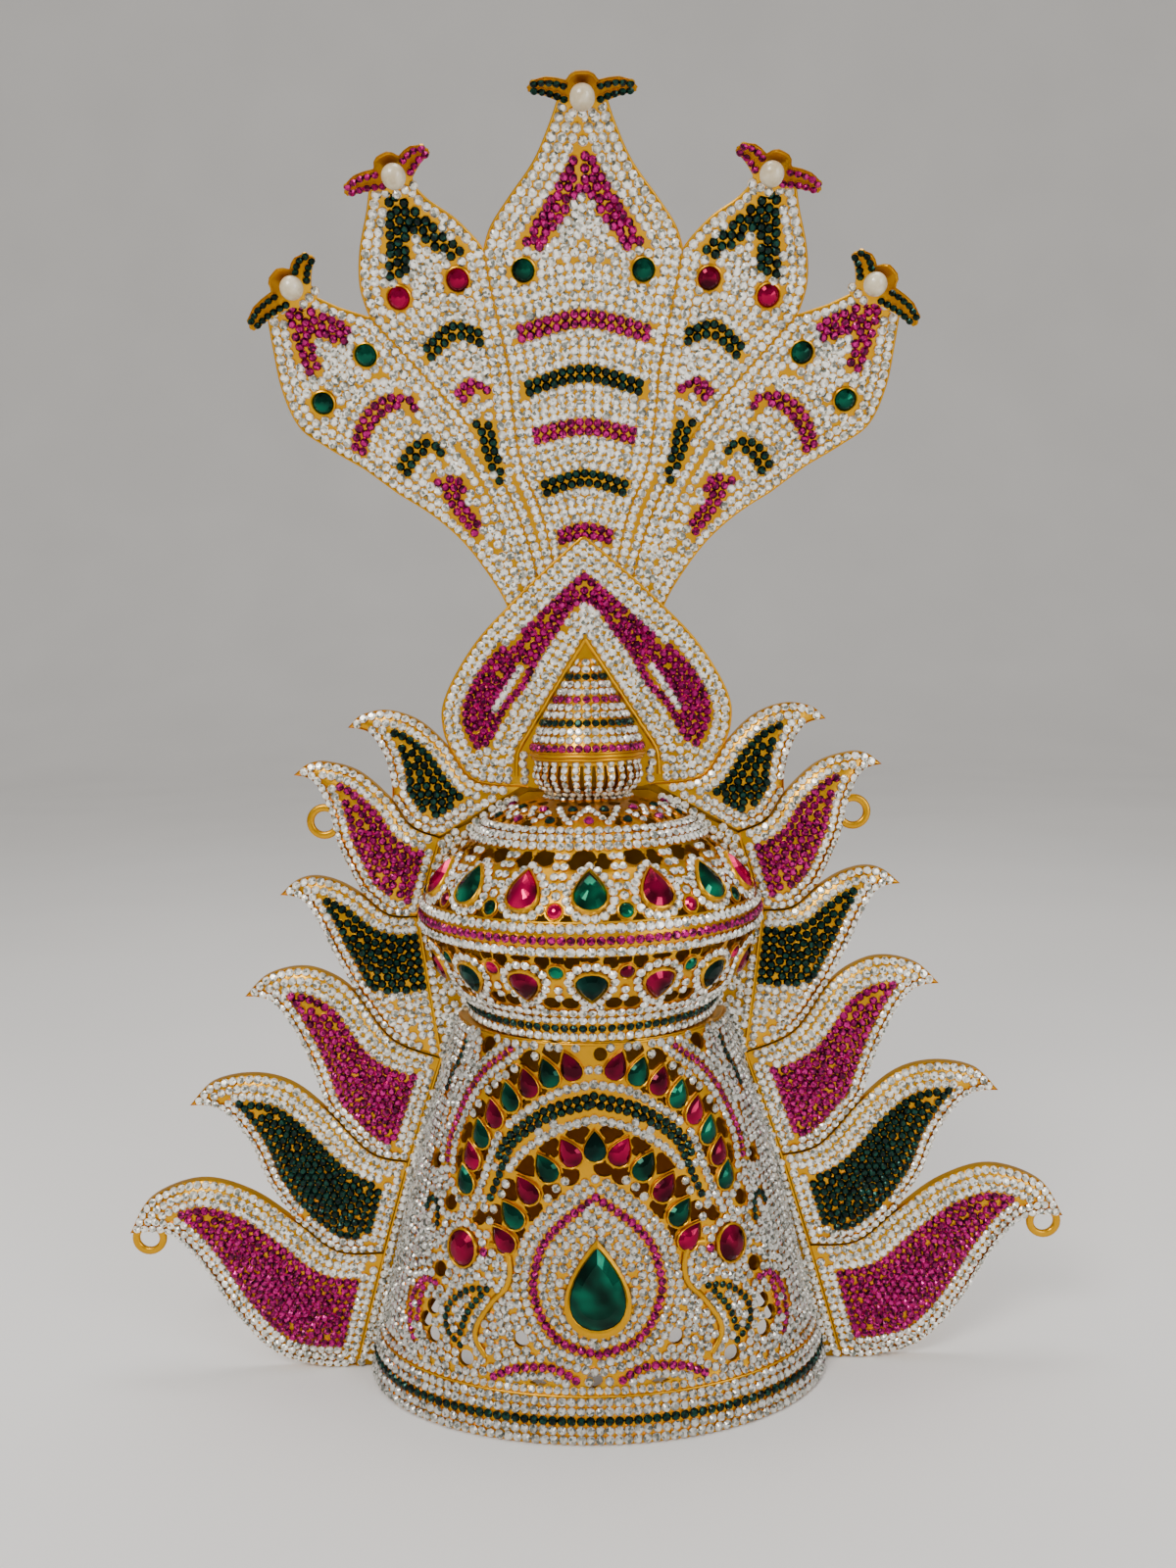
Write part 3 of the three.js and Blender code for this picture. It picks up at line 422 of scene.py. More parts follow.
def hood_point(x, s, lift=0.0):
    """The hood leans a little to the right about the shield's foot."""
    points = bent_point(x, s, lift - GAP)
    x, y, z = points[..., 0], points[..., 1], points[..., 2] - BEND_START_Z
    c, s = math.cos(HOOD_LEAN), math.sin(HOOD_LEAN)
    return xyz(x * c + z * s, y, BEND_START_Z - x * s + z * c)


def finial_surface(profile):
    """Half-round surface in front of the shield, and the length of its profile."""
    line = curve(profile)
    lengths = travelled(line)

    def point(angle, s, lift=0.0):
        a = np.radians(angle)
        r, z = profile_at(line, lengths, s)
        radius = np.maximum(r + lift, FINIAL_LEAST)
        forward = SHIELD_THICKNESS + GAP + radius * np.cos(a)
        return bent_point(radius * np.sin(a), z - BEND_START_Z, forward)

    return point, lengths[-1]


cone_point, CONE_LENGTH = finial_surface(CONE_PROFILE)
cup_point, CUP_LENGTH = finial_surface(CUP_PROFILE)


def seats_on(surface, spots, step=0.4):
    """Points, outward normals, and the surface's two directions at spots."""
    u, v = spots[:, 0], spots[:, 1]
    du = (surface(u + step, v) - surface(u - step, v)) / (2 * step)
    dv = (surface(u, v + step) - surface(u, v - step)) / (2 * step)
    return surface(u, v), unit(np.cross(du, dv)), du, dv


def spot_steps(move, du, dv):
    """Steps of spots that carry their points by a move in space."""
    return np.stack([(move * d).sum(axis=1) / (d * d).sum(axis=1) for d in (du, dv)], axis=1)


def spot_scale(surface, u, v):
    """Length in millimetres of one step of a spot in each of its two directions."""
    _, _, du, dv = seats_on(surface, np.array([[u, v]], float))
    return np.array([np.linalg.norm(du), np.linalg.norm(dv)])


def slid(surface, spots, distance):
    """Spots moved sideways over the surface, toward the left of the path."""
    spots = np.asarray(spots, float)
    _, normal, du, dv = seats_on(surface, spots)
    d = headings(spots)
    along = unit(d[:, :1] * du + d[:, 1:] * dv)
    return spots + spot_steps(np.cross(normal, along) * distance, du, dv)


def steady(surface, path, count_for):
    """Even steps along a path of spots, as many as the length in space asks for."""
    path = np.asarray(path, float)
    total = travelled(surface(path[:, 0], path[:, 1]))
    return at_lengths(path, np.linspace(0, total[-1], count_for(total[-1]) + 1), total)




# ---------------------------------------------------------------- materials

class Nodes:
    """A material and its node tree, with short calls to add and join nodes."""

    def __init__(self, name, **values):
        self.material = bpy.data.materials.new(name)
        self.material.use_nodes = True
        self.tree = self.material.node_tree
        self.inputs = self.tree.nodes["Principled BSDF"].inputs
        self.place = self.add("ShaderNodeTexCoord").outputs["Object"]
        for key, value in values.items():
            self.inputs[key.replace("_", " ")].default_value = value

    def add(self, kind, **values):
        node = self.tree.nodes.new(kind)
        for key, value in values.items():
            node.inputs[key.replace("_", " ")].default_value = value
        return node

    def join(self, source, target):
        self.tree.links.new(source, target)

    def texture(self, kind, output, **values):
        node = self.add(kind, **values)
        self.join(self.place, node.inputs["Vector"])
        return node.outputs[output]

    def noise(self, scale, detail=2.0):
        return self.texture("ShaderNodeTexNoise", "Fac", Scale=scale, Detail=detail)

    def cells(self, scale):
        return self.texture("ShaderNodeTexVoronoi", "Color", Scale=scale)

    def color(self, value, stops):
        node = self.add("ShaderNodeValToRGB")
        points = node.color_ramp.elements
        while len(points) < len(stops):
            points.new(0.5)
        for point, (at, color) in zip(points, stops):
            point.position = at
            point.color = (*color, 1)
        self.join(value, node.inputs["Fac"])
        self.join(node.outputs["Color"], self.inputs["Base Color"])

    def roughness(self, value, low, high):
        node = self.add("ShaderNodeMapRange", To_Min=low, To_Max=high)
        self.join(value, node.inputs["Value"])
        self.join(node.outputs["Result"], self.inputs["Roughness"])

    def bump(self, value, strength, distance):
        node = self.add("ShaderNodeBump", Strength=strength, Distance=distance)
        self.join(value, node.inputs["Height"])
        self.join(node.outputs["Normal"], self.inputs["Normal"])


GOLD_PALE = (0.74, 0.375, 0.008)
GOLD_DEEP = (0.50, 0.225, 0.004)
# Facets of a clear stone backed with foil: cream white ones, and dark ones among them that are painted
# reflections.
CRYSTAL = ((0.2, (0.16, 0.17, 0.14)), (0.4, (0.58, 0.56, 0.48)), (0.6, (1.0, 0.98, 0.90)))


def shaded(stops, shade):
    return [(at, tuple(shade * c for c in color)) for at, color in stops]


def gold(name="gold", fine=900.0, low=0.22, high=0.42, shade=1.0):
    n = Nodes(name, Metallic=1.0)
    n.color(n.noise(90.0, 4.0), shaded([(0.15, GOLD_DEEP), (0.85, GOLD_PALE)], shade))
    n.roughness(n.noise(180.0, 3.0), low, high)
    n.bump(n.noise(fine, 2.0), 0.25, 0.0002)
    return n.material


def crystal(name="white_crystal", shade=1.0):
    n = Nodes(name, Metallic=0.35, IOR=1.6, Coat_Weight=0.35, Coat_Roughness=0.05)
    n.color(n.cells(1000.0), shaded(CRYSTAL, shade))
    n.roughness(n.noise(400.0), 0.08, 0.2)
    return n.material


def small_stone(name, *colors):
    n = Nodes(name, Metallic=0.75, IOR=1.5, Coat_Weight=0.05, Coat_Roughness=0.1)
    # Cells from dark to light over the facets: painted shade and painted highlights on the stone's own
    # color.
    n.color(n.cells(1100.0), list(zip((0.25, 0.5, 0.78), colors)))
    n.roughness(n.noise(400.0), 0.12, 0.28)
    return n.material


def cut_gem(name, *colors):
    """A large stone in its own color, which runs from painted shade to painted highlight over its facets."""
    n = Nodes(name, Metallic=0.9, IOR=1.5, Coat_Weight=0.04, Coat_Roughness=0.05)
    n.color(n.noise(120.0, 1.0), list(zip((0.35, 0.5, 0.68), colors)))
    n.roughness(n.noise(300.0), 0.08, 0.16)
    return n.material


def pearl_skin():
    n = Nodes("pearl", IOR=1.55, Coat_Weight=0.5, Coat_Roughness=0.12)
    n.color(n.noise(260.0), [(0.35, (0.52, 0.42, 0.26)), (0.65, (0.70, 0.61, 0.44))])
    n.roughness(n.noise(500.0), 0.2, 0.32)
    return n.material


def studio_floor():
    n = Nodes("studio_floor")
    n.color(n.noise(3.0), [(0.3, (0.83, 0.81, 0.79)), (0.7, (0.87, 0.85, 0.83))])
    n.roughness(n.noise(6.0), 0.7, 0.85)
    return n.material


GOLD = gold()
# A darker copy of the gold: painted shade for the back plate, which is seen in shadow through the gaps of
# drum and dome.
SHADED_GOLD = gold("gold_painted_shade", 700.0, 0.34, 0.55, 0.6)
RED, GREEN = "red_stone", "green_stone"
# Each stone's slot, the kind of its material and its colors from dark to light: the stone's own color,
# spread into painted shade and painted highlights over its facets.
STONES = [
    ("pink_stones", RED, small_stone, (0.05, 0.0, 0.018), (0.25, 0.0, 0.085), (0.56, 0.004, 0.21)),
    ("green_stones", GREEN, small_stone, (0.0005, 0.004, 0.003), (0.001, 0.014, 0.009),
     (0.003, 0.046, 0.03)),
    ("ruby", RED, cut_gem, (0.09, 0.0, 0.012), (0.33, 0.0, 0.045), (0.80, 0.0, 0.11)),
    ("deep_ruby", RED, cut_gem, (0.04, 0.0, 0.006), (0.15, 0.0, 0.02), (0.30, 0.0, 0.04)),
    ("deep_emerald", GREEN, cut_gem, (0.0, 0.012, 0.007), (0.0, 0.038, 0.022), (0.0, 0.10, 0.055)),
    ("emerald", GREEN, cut_gem, (0.0, 0.018, 0.009), (0.0, 0.075, 0.038), (0.0, 0.26, 0.13)),
    ("dark_emerald", GREEN, cut_gem, (0.0, 0.010, 0.007), (0.0, 0.028, 0.02), (0.002, 0.075, 0.052)),
]
# Material and slot of each color.
LOOKS = {name.removesuffix("_stones"): (make(name, *colors), slot)
         for name, slot, make, *colors in STONES}
LOOKS["white"] = (crystal(), None)
# A darker copy of the white crystal: painted shade for the drum's stones.
LOOKS["shaded_white"] = (crystal("crystal_painted_shade", 0.62), None)
LOOKS["pearl"] = (pearl_skin(), "pearl")

# ---------------------------------------------------------------- stones

FACETS = 8
GIRDLE_HEIGHT = 0.34      # of a small stone's half width
TABLE_HEIGHT = 0.86
TABLE_SCALE = 0.56
SEAT_LEVELS = [(0.98, -0.25), (1.04, GIRDLE_HEIGHT - 0.1), (0.9, GIRDLE_HEIGHT - 0.06)]
GEM_LEVELS = [(1.0, 0.0), (1.0, 0.28), (0.66, 0.78), (0.2, 1.0)]


def turns_of(count, shift=0.0):
    return 2 * np.pi * (np.arange(count) + shift) / count


def stacked(outline, levels):
    """A skin over rings of one outline, each at its own scale and height."""
    rings = [np.hstack([outline * scale, np.full((len(outline), 1), z)]) for scale, z in levels]
    skin = Build().grid(rings, closed=True)
    return skin.points[0], skin.faces


def circle(count=FACETS, shift=0.0):
    """Corners of a regular outline of half width 1."""
    turns = turns_of(count, shift)
    return np.stack([np.cos(turns), np.sin(turns)], axis=1)


def chaton_shape():
    """A small cut stone of half width 1: table, and facets down to the girdle."""
    girdle = np.hstack([circle(), np.full((FACETS, 1), GIRDLE_HEIGHT)])
    table = np.hstack([circle(shift=0.5) * TABLE_SCALE, np.full((FACETS, 1), TABLE_HEIGHT)])
    faces = [[FACETS + j for j in range(FACETS)]]
    for j in range(FACETS):
        k = (j + 1) % FACETS
        faces += [[j, k, FACETS + j], [k, FACETS + k, FACETS + j]]
    return np.vstack([girdle, table]), faces


def pear_outline(sides):
    """Pear shape with its point up, width 1 and length 1."""
    t = turns_of(sides)
    return np.stack([-0.5 * np.sin(t) * np.sin(t / 2) / 0.77, 0.5 * np.cos(t)], axis=1)


def round_outline(sides):
    t = turns_of(sides)
    return np.stack([-0.5 * np.sin(t), 0.5 * np.cos(t)], axis=1)


def drop_shape(outline, size, height):
    """A large cut stone whose facets rise to a small table."""
    count = len(outline)
    points, faces = stacked(outline * size, [(scale, height * z) for scale, z in GEM_LEVELS])
    table = len(points) - count
    return points, [list(range(count))[::-1]] + faces + [[table + j for j in range(count)]]


def planted(shape, spots, normals, sizes, rolls, ups, tilts=None):
    """Copies of a shape standing on spots, as points and faces."""
    points, faces = shape
    across = unit(np.cross(ups, normals))
    upward = np.cross(normals, across)
    if tilts is not None:
        normals = unit(normals + across * tilts[:, :1] + upward * tilts[:, 1:])
        across = unit(np.cross(upward, normals))
        upward = np.cross(normals, across)
    c, s = np.cos(rolls)[:, None], np.sin(rolls)[:, None]
    axes = (across * c + upward * s, upward * c - across * s, normals)
    size = np.asarray(sizes, float)[:, None, None]
    moved_points = spots[:, None, :] + size * sum(
        points[None, :, k, None] * axis[:, None, :] for k, axis in enumerate(axes))
    every = [[i + k * len(points) for i in face] for k in range(len(spots)) for face in faces]
    return moved_points.reshape(-1, 3), every


random = np.random.default_rng(SEED)

GAP_LEAST = 0.75          # room a gap needs round its middle
GAP_EDGE = 0.12           # metal left between a gap and a stone
GAP_SLACK = 1.3           # how much further one corner of a gap may reach than the next
GAP_CORNERS = 16
GAP_TRY = 1.6             # how far from its seed a gap's middle may lie
GAP_START = 0.3
GAP_STEP = 0.25
FINE = 0.5                # step between the places tried for a stone
OFF_PLACE = 0.3           # how far a spread stone may leave the places allowed
SPREAD_STEPS = 16
PUSH = 0.3                # share of an overlap taken away in one step
PACKED = 0.84             # closest two filling stones may come, in shares of touching
LAID = 0.84               # the same for stones laid one by one along an edge
WIDE_STONE = 3.2
SLIM_STONE = 2.5
SLIM_PITCH = 2.6


def packed(places, fixed, reach, half, closeness):
    """Numbers of the places taken when a region fills up from what already stands there."""
    numbers = np.arange(len(places))
    nearest = np.full(len(places), 1e6)
    second = np.full(len(places), 1e6)
    waiting = list(zip(fixed, reach))
    chosen = []
    while len(places):
        for place, radius in waiting:
            gap = np.linalg.norm(places - place, axis=1) - closeness * (radius + half)
            second = np.minimum(second, np.maximum(nearest, gap))
            nearest = np.minimum(nearest, gap)
        free = nearest >= 0
        if not free.any():
            break
        places, numbers, nearest, second = places[free], numbers[free], nearest[free], second[free]
        best = int(np.argmin(nearest + second))
        waiting = [(places[best], half)]
        chosen.append(numbers[best])
    return chosen


def tree_of(points):
    tree = KDTree(len(points))
    for k, point in enumerate(points):
        tree.insert(point, k)
    tree.balance()
    return tree


def spread(surface, spots, half, fixed, reach, allowed, places):
    """Moves new stones apart step by step, and keeps them to the places allowed."""
    homes = tree_of(places)
    for step in range(SPREAD_STEPS):
        points, _, du, dv = seats_on(surface, spots)
        every = np.vstack([points, fixed])
        radii = np.concatenate([np.full(len(points), half), reach])
        if step % 4 == 0:
            tree = tree_of(every)
            pairs = np.array([(i, j) for i, point in enumerate(points)
                              for _, j, _ in tree.find_range(point, 4 * half) if j != i], int)
            if not len(pairs):
                break
            a, b = pairs.T
        away = points[a] - every[b]
        gaps = np.maximum(np.linalg.norm(away, axis=1), 1e-3)
        push = PUSH * np.clip((half + radii[b]) - gaps, 0, None) / gaps
        move = np.zeros_like(points)
        np.add.at(move, a, away * push[:, None])
        spots = spots + spot_steps(move, du, dv)
        for k, point in enumerate(surface(spots[:, 0], spots[:, 1])):
            _, home, gap = homes.find(point)
            if gap > OFF_PLACE:
                spots[k] = allowed[home]
    return spots


class Setting:
    """The small stones of one surface. A new stone keeps clear of those already set."""

    def __init__(self, name, surface):
        self.name = name
        self.surface = surface
        self.taken = np.zeros((0, 3))
        self.reach = np.zeros(0)
        self.stones = {}

    def block(self, points, radius):
        """Keeps stones away from a few points."""
        points = np.asarray(points, float).reshape(-1, 3)
        self.taken = np.vstack([self.taken, points])
        self.reach = np.concatenate([self.reach, np.full(len(points), radius)])

    def put(self, color, spots, size=CHATON, closeness=0.9):
        """Sets stones at spots, each only where those before it leave it room."""
        spots = np.asarray(spots, float).reshape(-1, 2)
        if not len(spots):
            return
        rows = self.stones.setdefault(color, [])
        points, normals, _, _ = seats_on(self.surface, spots)
        for point, normal, spot in zip(points, normals, spots):
            gaps = np.linalg.norm(self.taken - point, axis=1)
            if (gaps >= closeness * (self.reach + size / 2)).all():
                self.block(point, size / 2)
                rows.append((point, normal, size, spot))

    def reflect(self, least=0.9):
        """Repeats the stones right of the middle on the left."""
        for rows in self.stones.values():
            right = [(spot, size) for _, _, size, spot in rows if spot[0] > least]
            if right:
                spots = np.array([spot for spot, _ in right]) * (-1, 1)
                points, normals, _, _ = seats_on(self.surface, spots)
                rows += [(p, n, size, spot) for p, n, (_, size), spot in zip(points, normals, right, spots)]

    def row(self, color, path, pitch=PITCH, size=CHATON, closeness=0.8, side=0.0):
        """Stones at even steps along a path of spots, or beside it."""
        path = slid(self.surface, path, side) if side else path
        spots = steady(self.surface, path, lambda length: max(1, round(length / pitch)))
        self.put(color, spots, size, closeness)

    def fill(self, color, spots, size=CHATON, closeness=PACKED):
        """Packs the places offered with stones, then spreads them evenly."""
        if not len(spots):
            return
        places = self.surface(spots[:, 0], spots[:, 1])
        low, high = places.min(axis=0) - 6, places.max(axis=0) + 6
        close = ((self.taken > low) & (self.taken < high)).all(axis=1)
        fixed, reach = self.taken[close], self.reach[close]
        chosen = packed(places, fixed, reach, size / 2, closeness)
        if chosen:
            even = spread(self.surface, spots[chosen], size / 2, fixed, reach, spots, places)
            self.put(color, even, size, 0.5 * closeness)

    def make(self, white="white"):
        """Makes one mesh of stones for each color, and one of all their seats."""
        seats = Build()
        for color, rows in self.stones.items():
            points, normals, sizes, _ = (np.array(column) for column in zip(*rows))
            half = sizes / 2 * random.uniform(0.97, 1.03, len(rows))
            rolls = random.uniform(0, 2 * np.pi, len(rows))
            tilts = random.normal(0, 0.05, (len(rows), 2))
            stand = (points, normals, half, rolls, (0.0, 0.0, 1.0), tilts)
            material, slot = LOOKS[white if color == "white" else color]
            stones = Build().add(*planted(chaton_shape(), *stand))
            piece(f"{self.name}_{color}", stones, material, slot, smooth=False)
            seats.add(*planted(stacked(circle(), SEAT_LEVELS), *stand))
        piece(f"{self.name}_seats", seats, GOLD, "gold", smooth=False)


def region_spots(outline, margin=0.0):
    """Places to try inside an outline, clear of its edge."""
    outline = np.asarray(outline, float)
    spots = hex_spots(outline.min(axis=0), outline.max(axis=0), FINE)
    spots = spots[inside(spots, outline)]
    if margin and len(spots):
        spots = spots[clearance(spots, resample(closed_path(outline), 0.7)) > margin]
    return spots


def level_line(v, last=88.6, count=30):
    """Spots at one height of a round wall, from the front to the right."""
    return np.stack([np.linspace(0, last, count), np.full(count, v)], axis=1)


def wall_spots(surface, levels):
    """Places to try over the right half of a round wall."""
    rows = []
    for level in levels:
        line = level_line(level, 88.5, 60)
        total = travelled(surface(*line.T))
        rows.append(at_lengths(line, np.append(0, np.arange(CHATON / 2, total[-1], FINE)), total))
    return np.vstack(rows)


# ---------------------------------------------------------------- flames

PER_SPAN = 8
BEAD = 0.6                # width of the rolled edge of a flame
BEAD_HEIGHT = 0.4
BEAD_SHARE = 0.22         # most of a narrow flame's width that its rolled edge takes
PUFF_SHARE = 0.16         # embossing of a narrow flame, in shares of its width
PUFF_FULL = 0.9
PUFF_ROUND = 0.62
ROOT_FLAT = 0.8           # share of the embossing that is lost at the root
FLAME_AHEAD = -60         # a plane in front of every flame
ACROSS_STEPS = 15
ROOT_START = 0.72         # share of a flame's length where it starts to flatten
LOOP_FORWARD = 0.7
UPPER = [curve([flame[name] for name in FLAME_EDGE], PER_SPAN) for flame in FLAMES]


def flame_lower(k):
    """Free from the tip to the joint, then along the next flame's neck."""
    free = [FLAMES[k][name] for name in ("tip", "throat", "chest", "belly")]
    if k + 1 == len(FLAMES):
        return curve(free + [FLAMES[k]["joint"]] + WING_FOOT, PER_SPAN)
    shared = moved(UPPER[k + 1], 1.3 * GAP)[4 * PER_SPAN:]
    return np.vstack([curve(free + [tuple(shared[0])], PER_SPAN), shared[1:]])


LOWER = [flame_lower(k) for k in range(len(FLAMES))]


def flame_rows(k):
    """Front and back rows of one embossed flame with rolled edges."""
    front, back = [], []
    last = len(UPPER[k]) - 1
    for i, (upper, lower) in enumerate(zip(UPPER[k], LOWER[k])):
        width = max(1e-3, float(np.linalg.norm(upper - lower)))
        b = min(BEAD_SHARE, BEAD / width)
        edge = [0.0, 0.0, 0.3 * b, 0.65 * b]
        depth = [0.0, RIM_DEPTH - 0.35, RIM_DEPTH + BEAD_HEIGHT, RIM_DEPTH + BEAD_HEIGHT]
        middle = np.linspace(b, 1 - b, ACROSS_STEPS)
        inward = np.clip((middle - b) / (1 - 2 * b), 0, 1)
        toward_root = 1 - ROOT_FLAT * smoothstep((i / last - ROOT_START) / (1 - ROOT_START))
        full = PUFF_FULL * min(PUFF, PUFF_SHARE * width) * toward_root
        puff = full * np.sin(np.pi * inward) ** PUFF_ROUND
        v = np.concatenate([edge, middle, [1 - e for e in edge[::-1]]])
        y = -np.concatenate([depth, RIM_DEPTH + puff, depth[::-1]])
        x, z = (lower + (upper - lower) * v[:, None]).T
        hollow = (v > 1.4 * b) & (v < 1 - 1.4 * b) & (0 < i < last)
        front.append(xyz(x, y, z))
        back.append(xyz(x, np.where(hollow, np.minimum(y + SHEET, 0), 0), z))
    return np.array(front), np.array(back)


def ring_rows(centre):
    """A rounded flat ring for the tying cord."""
    a = turns_of(10)
    flat, deep = (np.sign(w) * np.abs(w) ** 0.7 for w in (np.cos(a), np.sin(a)))
    radius = (LOOP_OUTER + LOOP_INNER) / 2 + (LOOP_OUTER - LOOP_INNER) / 2 * flat
    depth = LOOP_THICKNESS / 2 * (1 + deep) - LOOP_FORWARD
    turns = np.linspace(0, 2 * np.pi, 29)[:, None]
    return xyz(centre[0] + radius * np.cos(turns), depth, centre[1] + radius * np.sin(turns))


def flame_build(k, side):
    front, back = flame_rows(k)
    build = Build().grid(front).grid(back, flip=True).grid([front[-1], back[-1]])
    if k + 1 in LOOPS:
        build.grid(ring_rows(LOOPS[k + 1]), closed=True)
    if side < 0:
        build.points = [p * (-1, 1, 1) for p in build.points]
        build.faces = [face[::-1] for face in build.faces]
    return build


def make_flames():
    for k in range(len(FLAMES)):
        for side, label in SIDES:
            node = f"flame_{label}_{k + 1}"
            piece(f"smooth_{node}", flame_build(k, side), GOLD, "gold", replaces=[node])


def front_surface(rows):
    """Surface found by looking along +Y at a skin of points; spots are [x, z]."""
    build = Build().grid(rows)
    tree = BVHTree.FromPolygons(build.points[0].tolist(), build.faces)

    def point(x, z):
        x, z = np.broadcast_arrays(np.asarray(x, float), np.asarray(z, float))
        found = []
        for a, b in zip(x.ravel(), z.ravel()):
            hit = tree.ray_cast((a, FLAME_AHEAD, b), (0, 1, 0))[0]
            found.append((a, hit.y if hit else -RIM_DEPTH, b))
        return np.array(found).reshape(*x.shape, 3)

    return point


# White rows along a flame's upper edge, lower edge and root, the field's color and foot.
FLAME_ROWS = [(1.9, 1.6, 1.5, "green", 0), (2.1, 1.8, 1.2, "pink", 0), (2.2, 2, 0.5, "green", 138.5),
              (2.5, 2, 1.5, "pink", 0), (2.5, 2, 2, "green", 0), (3.3, 3, 2, "pink", 0)]
FIELD_STONE = 3.15        # width of the stones in a flame's colored field
FIELD_ROWS = 1.6          # rows laid along the edge of a colored field
FIRST_ROW = 1.75          # middle of the first row from an edge
NARROW = 5.6              # width below which a flame carries one row in its middle


def flame_stones(k):
    outline = np.vstack([UPPER[k], LOWER[k][::-1][:-1]])
    setting = Setting(f"flame_{k + 1}", front_surface(flame_rows(k)[0]))
    *counts, color, foot = FLAME_ROWS[k]
    root = np.vstack([UPPER[k][-1:], LOWER[k][-1:]])
    lines = [(resample(path, 0.5), count) for path, count in zip((UPPER[k], LOWER[k], root), counts)]

    def field_row(spots):
        """Rows in from the white ones; negative where white."""
        rows = [(clearance(spots, line) - FIRST_ROW) / PITCH + 0.5 - count for line, count in lines]
        return np.where(spots[:, 1] < foot, -1, np.min(rows, axis=0))

    for _, path in inset_rows(outline, FIRST_ROW, PITCH - 0.15, 14):
        spots = resample(path, PITCH)
        row = field_row(spots)
        setting.put("white", spots[row < 0], closeness=LAID)
        setting.put(color, spots[(row >= 0) & (row < FIELD_ROWS)], FIELD_STONE, closeness=0.8)
    narrow = np.linalg.norm(UPPER[k] - LOWER[k], axis=1) < NARROW
    middle = (UPPER[k] + LOWER[k])[narrow & (np.arange(len(narrow)) > PER_SPAN)] / 2
    if len(middle) > 1:
        spots = resample(middle, PITCH)
        setting.put("white", spots[clearance(spots, lines[0][0]) > 1.1], closeness=LAID)
    field = region_spots(outline, FIRST_ROW - 0.15)
    white = field_row(field) < 0
    setting.fill("white", field[white])
    setting.fill(color, field[~white], FIELD_STONE, 0.78)
    return setting.stones


def make_wing_stones():
    """The stones of each flame on the right, then the same ones on the left."""
    wings = Setting("wing", None)
    flip = (-1, 1, 1)
    for k in range(len(FLAMES)):
        for color, rows in flame_stones(k).items():
            left = [(point * flip, normal * flip, *rest) for point, normal, *rest in rows]
            wings.stones.setdefault(color, []).extend(rows + left)
    wings.make()


# ---------------------------------------------------------------- strip beside the drum

STRIP_TOP = 204.0
STRIP_EDGE = 1.6          # middle of the strip's first row from its edge


def strip_point(x, z, lift=0.0):
    return xyz(x, -RIM_DEPTH - lift, z)


def strip_outline():
    """Between the body's edge and the flames' roots, from the foot up."""
    roots = [flame["root"] for flame in FLAMES][::-1]
    outer = moved([WING_FOOT[-1]] + roots, -2 * GAP)
    levels = np.linspace(1, STRIP_TOP, 90)
    drum = drum_point(90, np.minimum(levels, DRUM_HEIGHT))[:, 0]
    dome = np.interp(levels, DOME_CURVE[:, 1], DOME_CURVE[:, 0])
    inner = np.stack([np.where(levels < DRUM_HEIGHT, drum, dome) + GAP, levels], axis=1)
    return inner, outer


def strip_stones():
    setting = Setting("strip", strip_point)
    inner, outer = strip_outline()
    outline = np.vstack([inner, outer[::-1]])
    for _, path in inset_rows(outline, STRIP_EDGE, PITCH - 0.15, 4):
        setting.row("white", path)
    setting.fill("white", region_spots(outline, 0.8))
    setting.reflect()
    setting.make()


def strip_wires():
    """The root line that parts flames from strip."""
    build = Build()
    line = resample(strip_outline()[1][:-1], 2.0)
    for side, _ in SIDES:
        build.tube(strip_point(side * line[:, 0], line[:, 1], 0.25), ROOT_WIRE)
    piece("root_lines", build, GOLD, "gold")


# ---------------------------------------------------------------- shield and hood

def shield_outline():
    """Whole outline, from the tip down the right side and back up the left."""
    lower = moved(UPPER[0], 1.3 * GAP) - (0, BEND_START_Z)
    lower = lower[(lower[:, 0] < 47.5) & (lower[:, 1] < SHIELD_SIDE[-1][1])]
    side = np.vstack([curve(SHIELD_SIDE, 6), lower, [SHIELD_FOOT]])
    return np.vstack([side, mirror(side)[:-1]])


def hood_side():
    parts = (HOOD_CENTRE_HEAD, HOOD_INNER_TOP[1:], HOOD_INNER_SIDE, HOOD_OUTER_TOP[1:],
             HOOD_OUTER_SIDE, HOOD_STEM[1:], [HOOD_FOOT])
    return np.vstack([curve(part, 6) if len(part) > 2 else part for part in parts])


def walled(surface, spots, triangles, front, back):
    """Front and back skins over the same triangles, with a wall along every open edge."""
    triangles = triangles.tolist()
    count = len(spots)
    edges = dict.fromkeys(edge for a, b, c in triangles for edge in ((a, b), (b, c), (c, a)))
    faces = triangles + [[i + count for i in t][::-1] for t in triangles]
    faces += [[b, a, a + count, b + count] for a, b in edges if (b, a) not in edges]
    return Build().add(np.vstack([surface(*spots.T, lift) for lift in (front, back)]), faces)


def loop_links(first, count):
    return [(first + i, first + (i + 1) % count) for i in range(count)]


SHEET_STEP = 5.0
SHEET_EDGE_STEP = 1.4


def bent_sheet(surface, outline, front, back):
    """A plate cut to an outline and bent on a surface, front and back and edge."""
    edge = even_loop(outline, SHEET_EDGE_STEP)
    grid = hex_spots(edge.min(axis=0), edge.max(axis=0), SHEET_STEP)
    grid = grid[inside(grid, edge)]
    grid = grid[clearance(grid, edge) > 1.2]
    spots, triangles, middles = meshed(np.vstack([edge, grid]), loop_links(0, len(edge)))
    return walled(surface, spots, triangles[inside(middles, edge)], front, back)


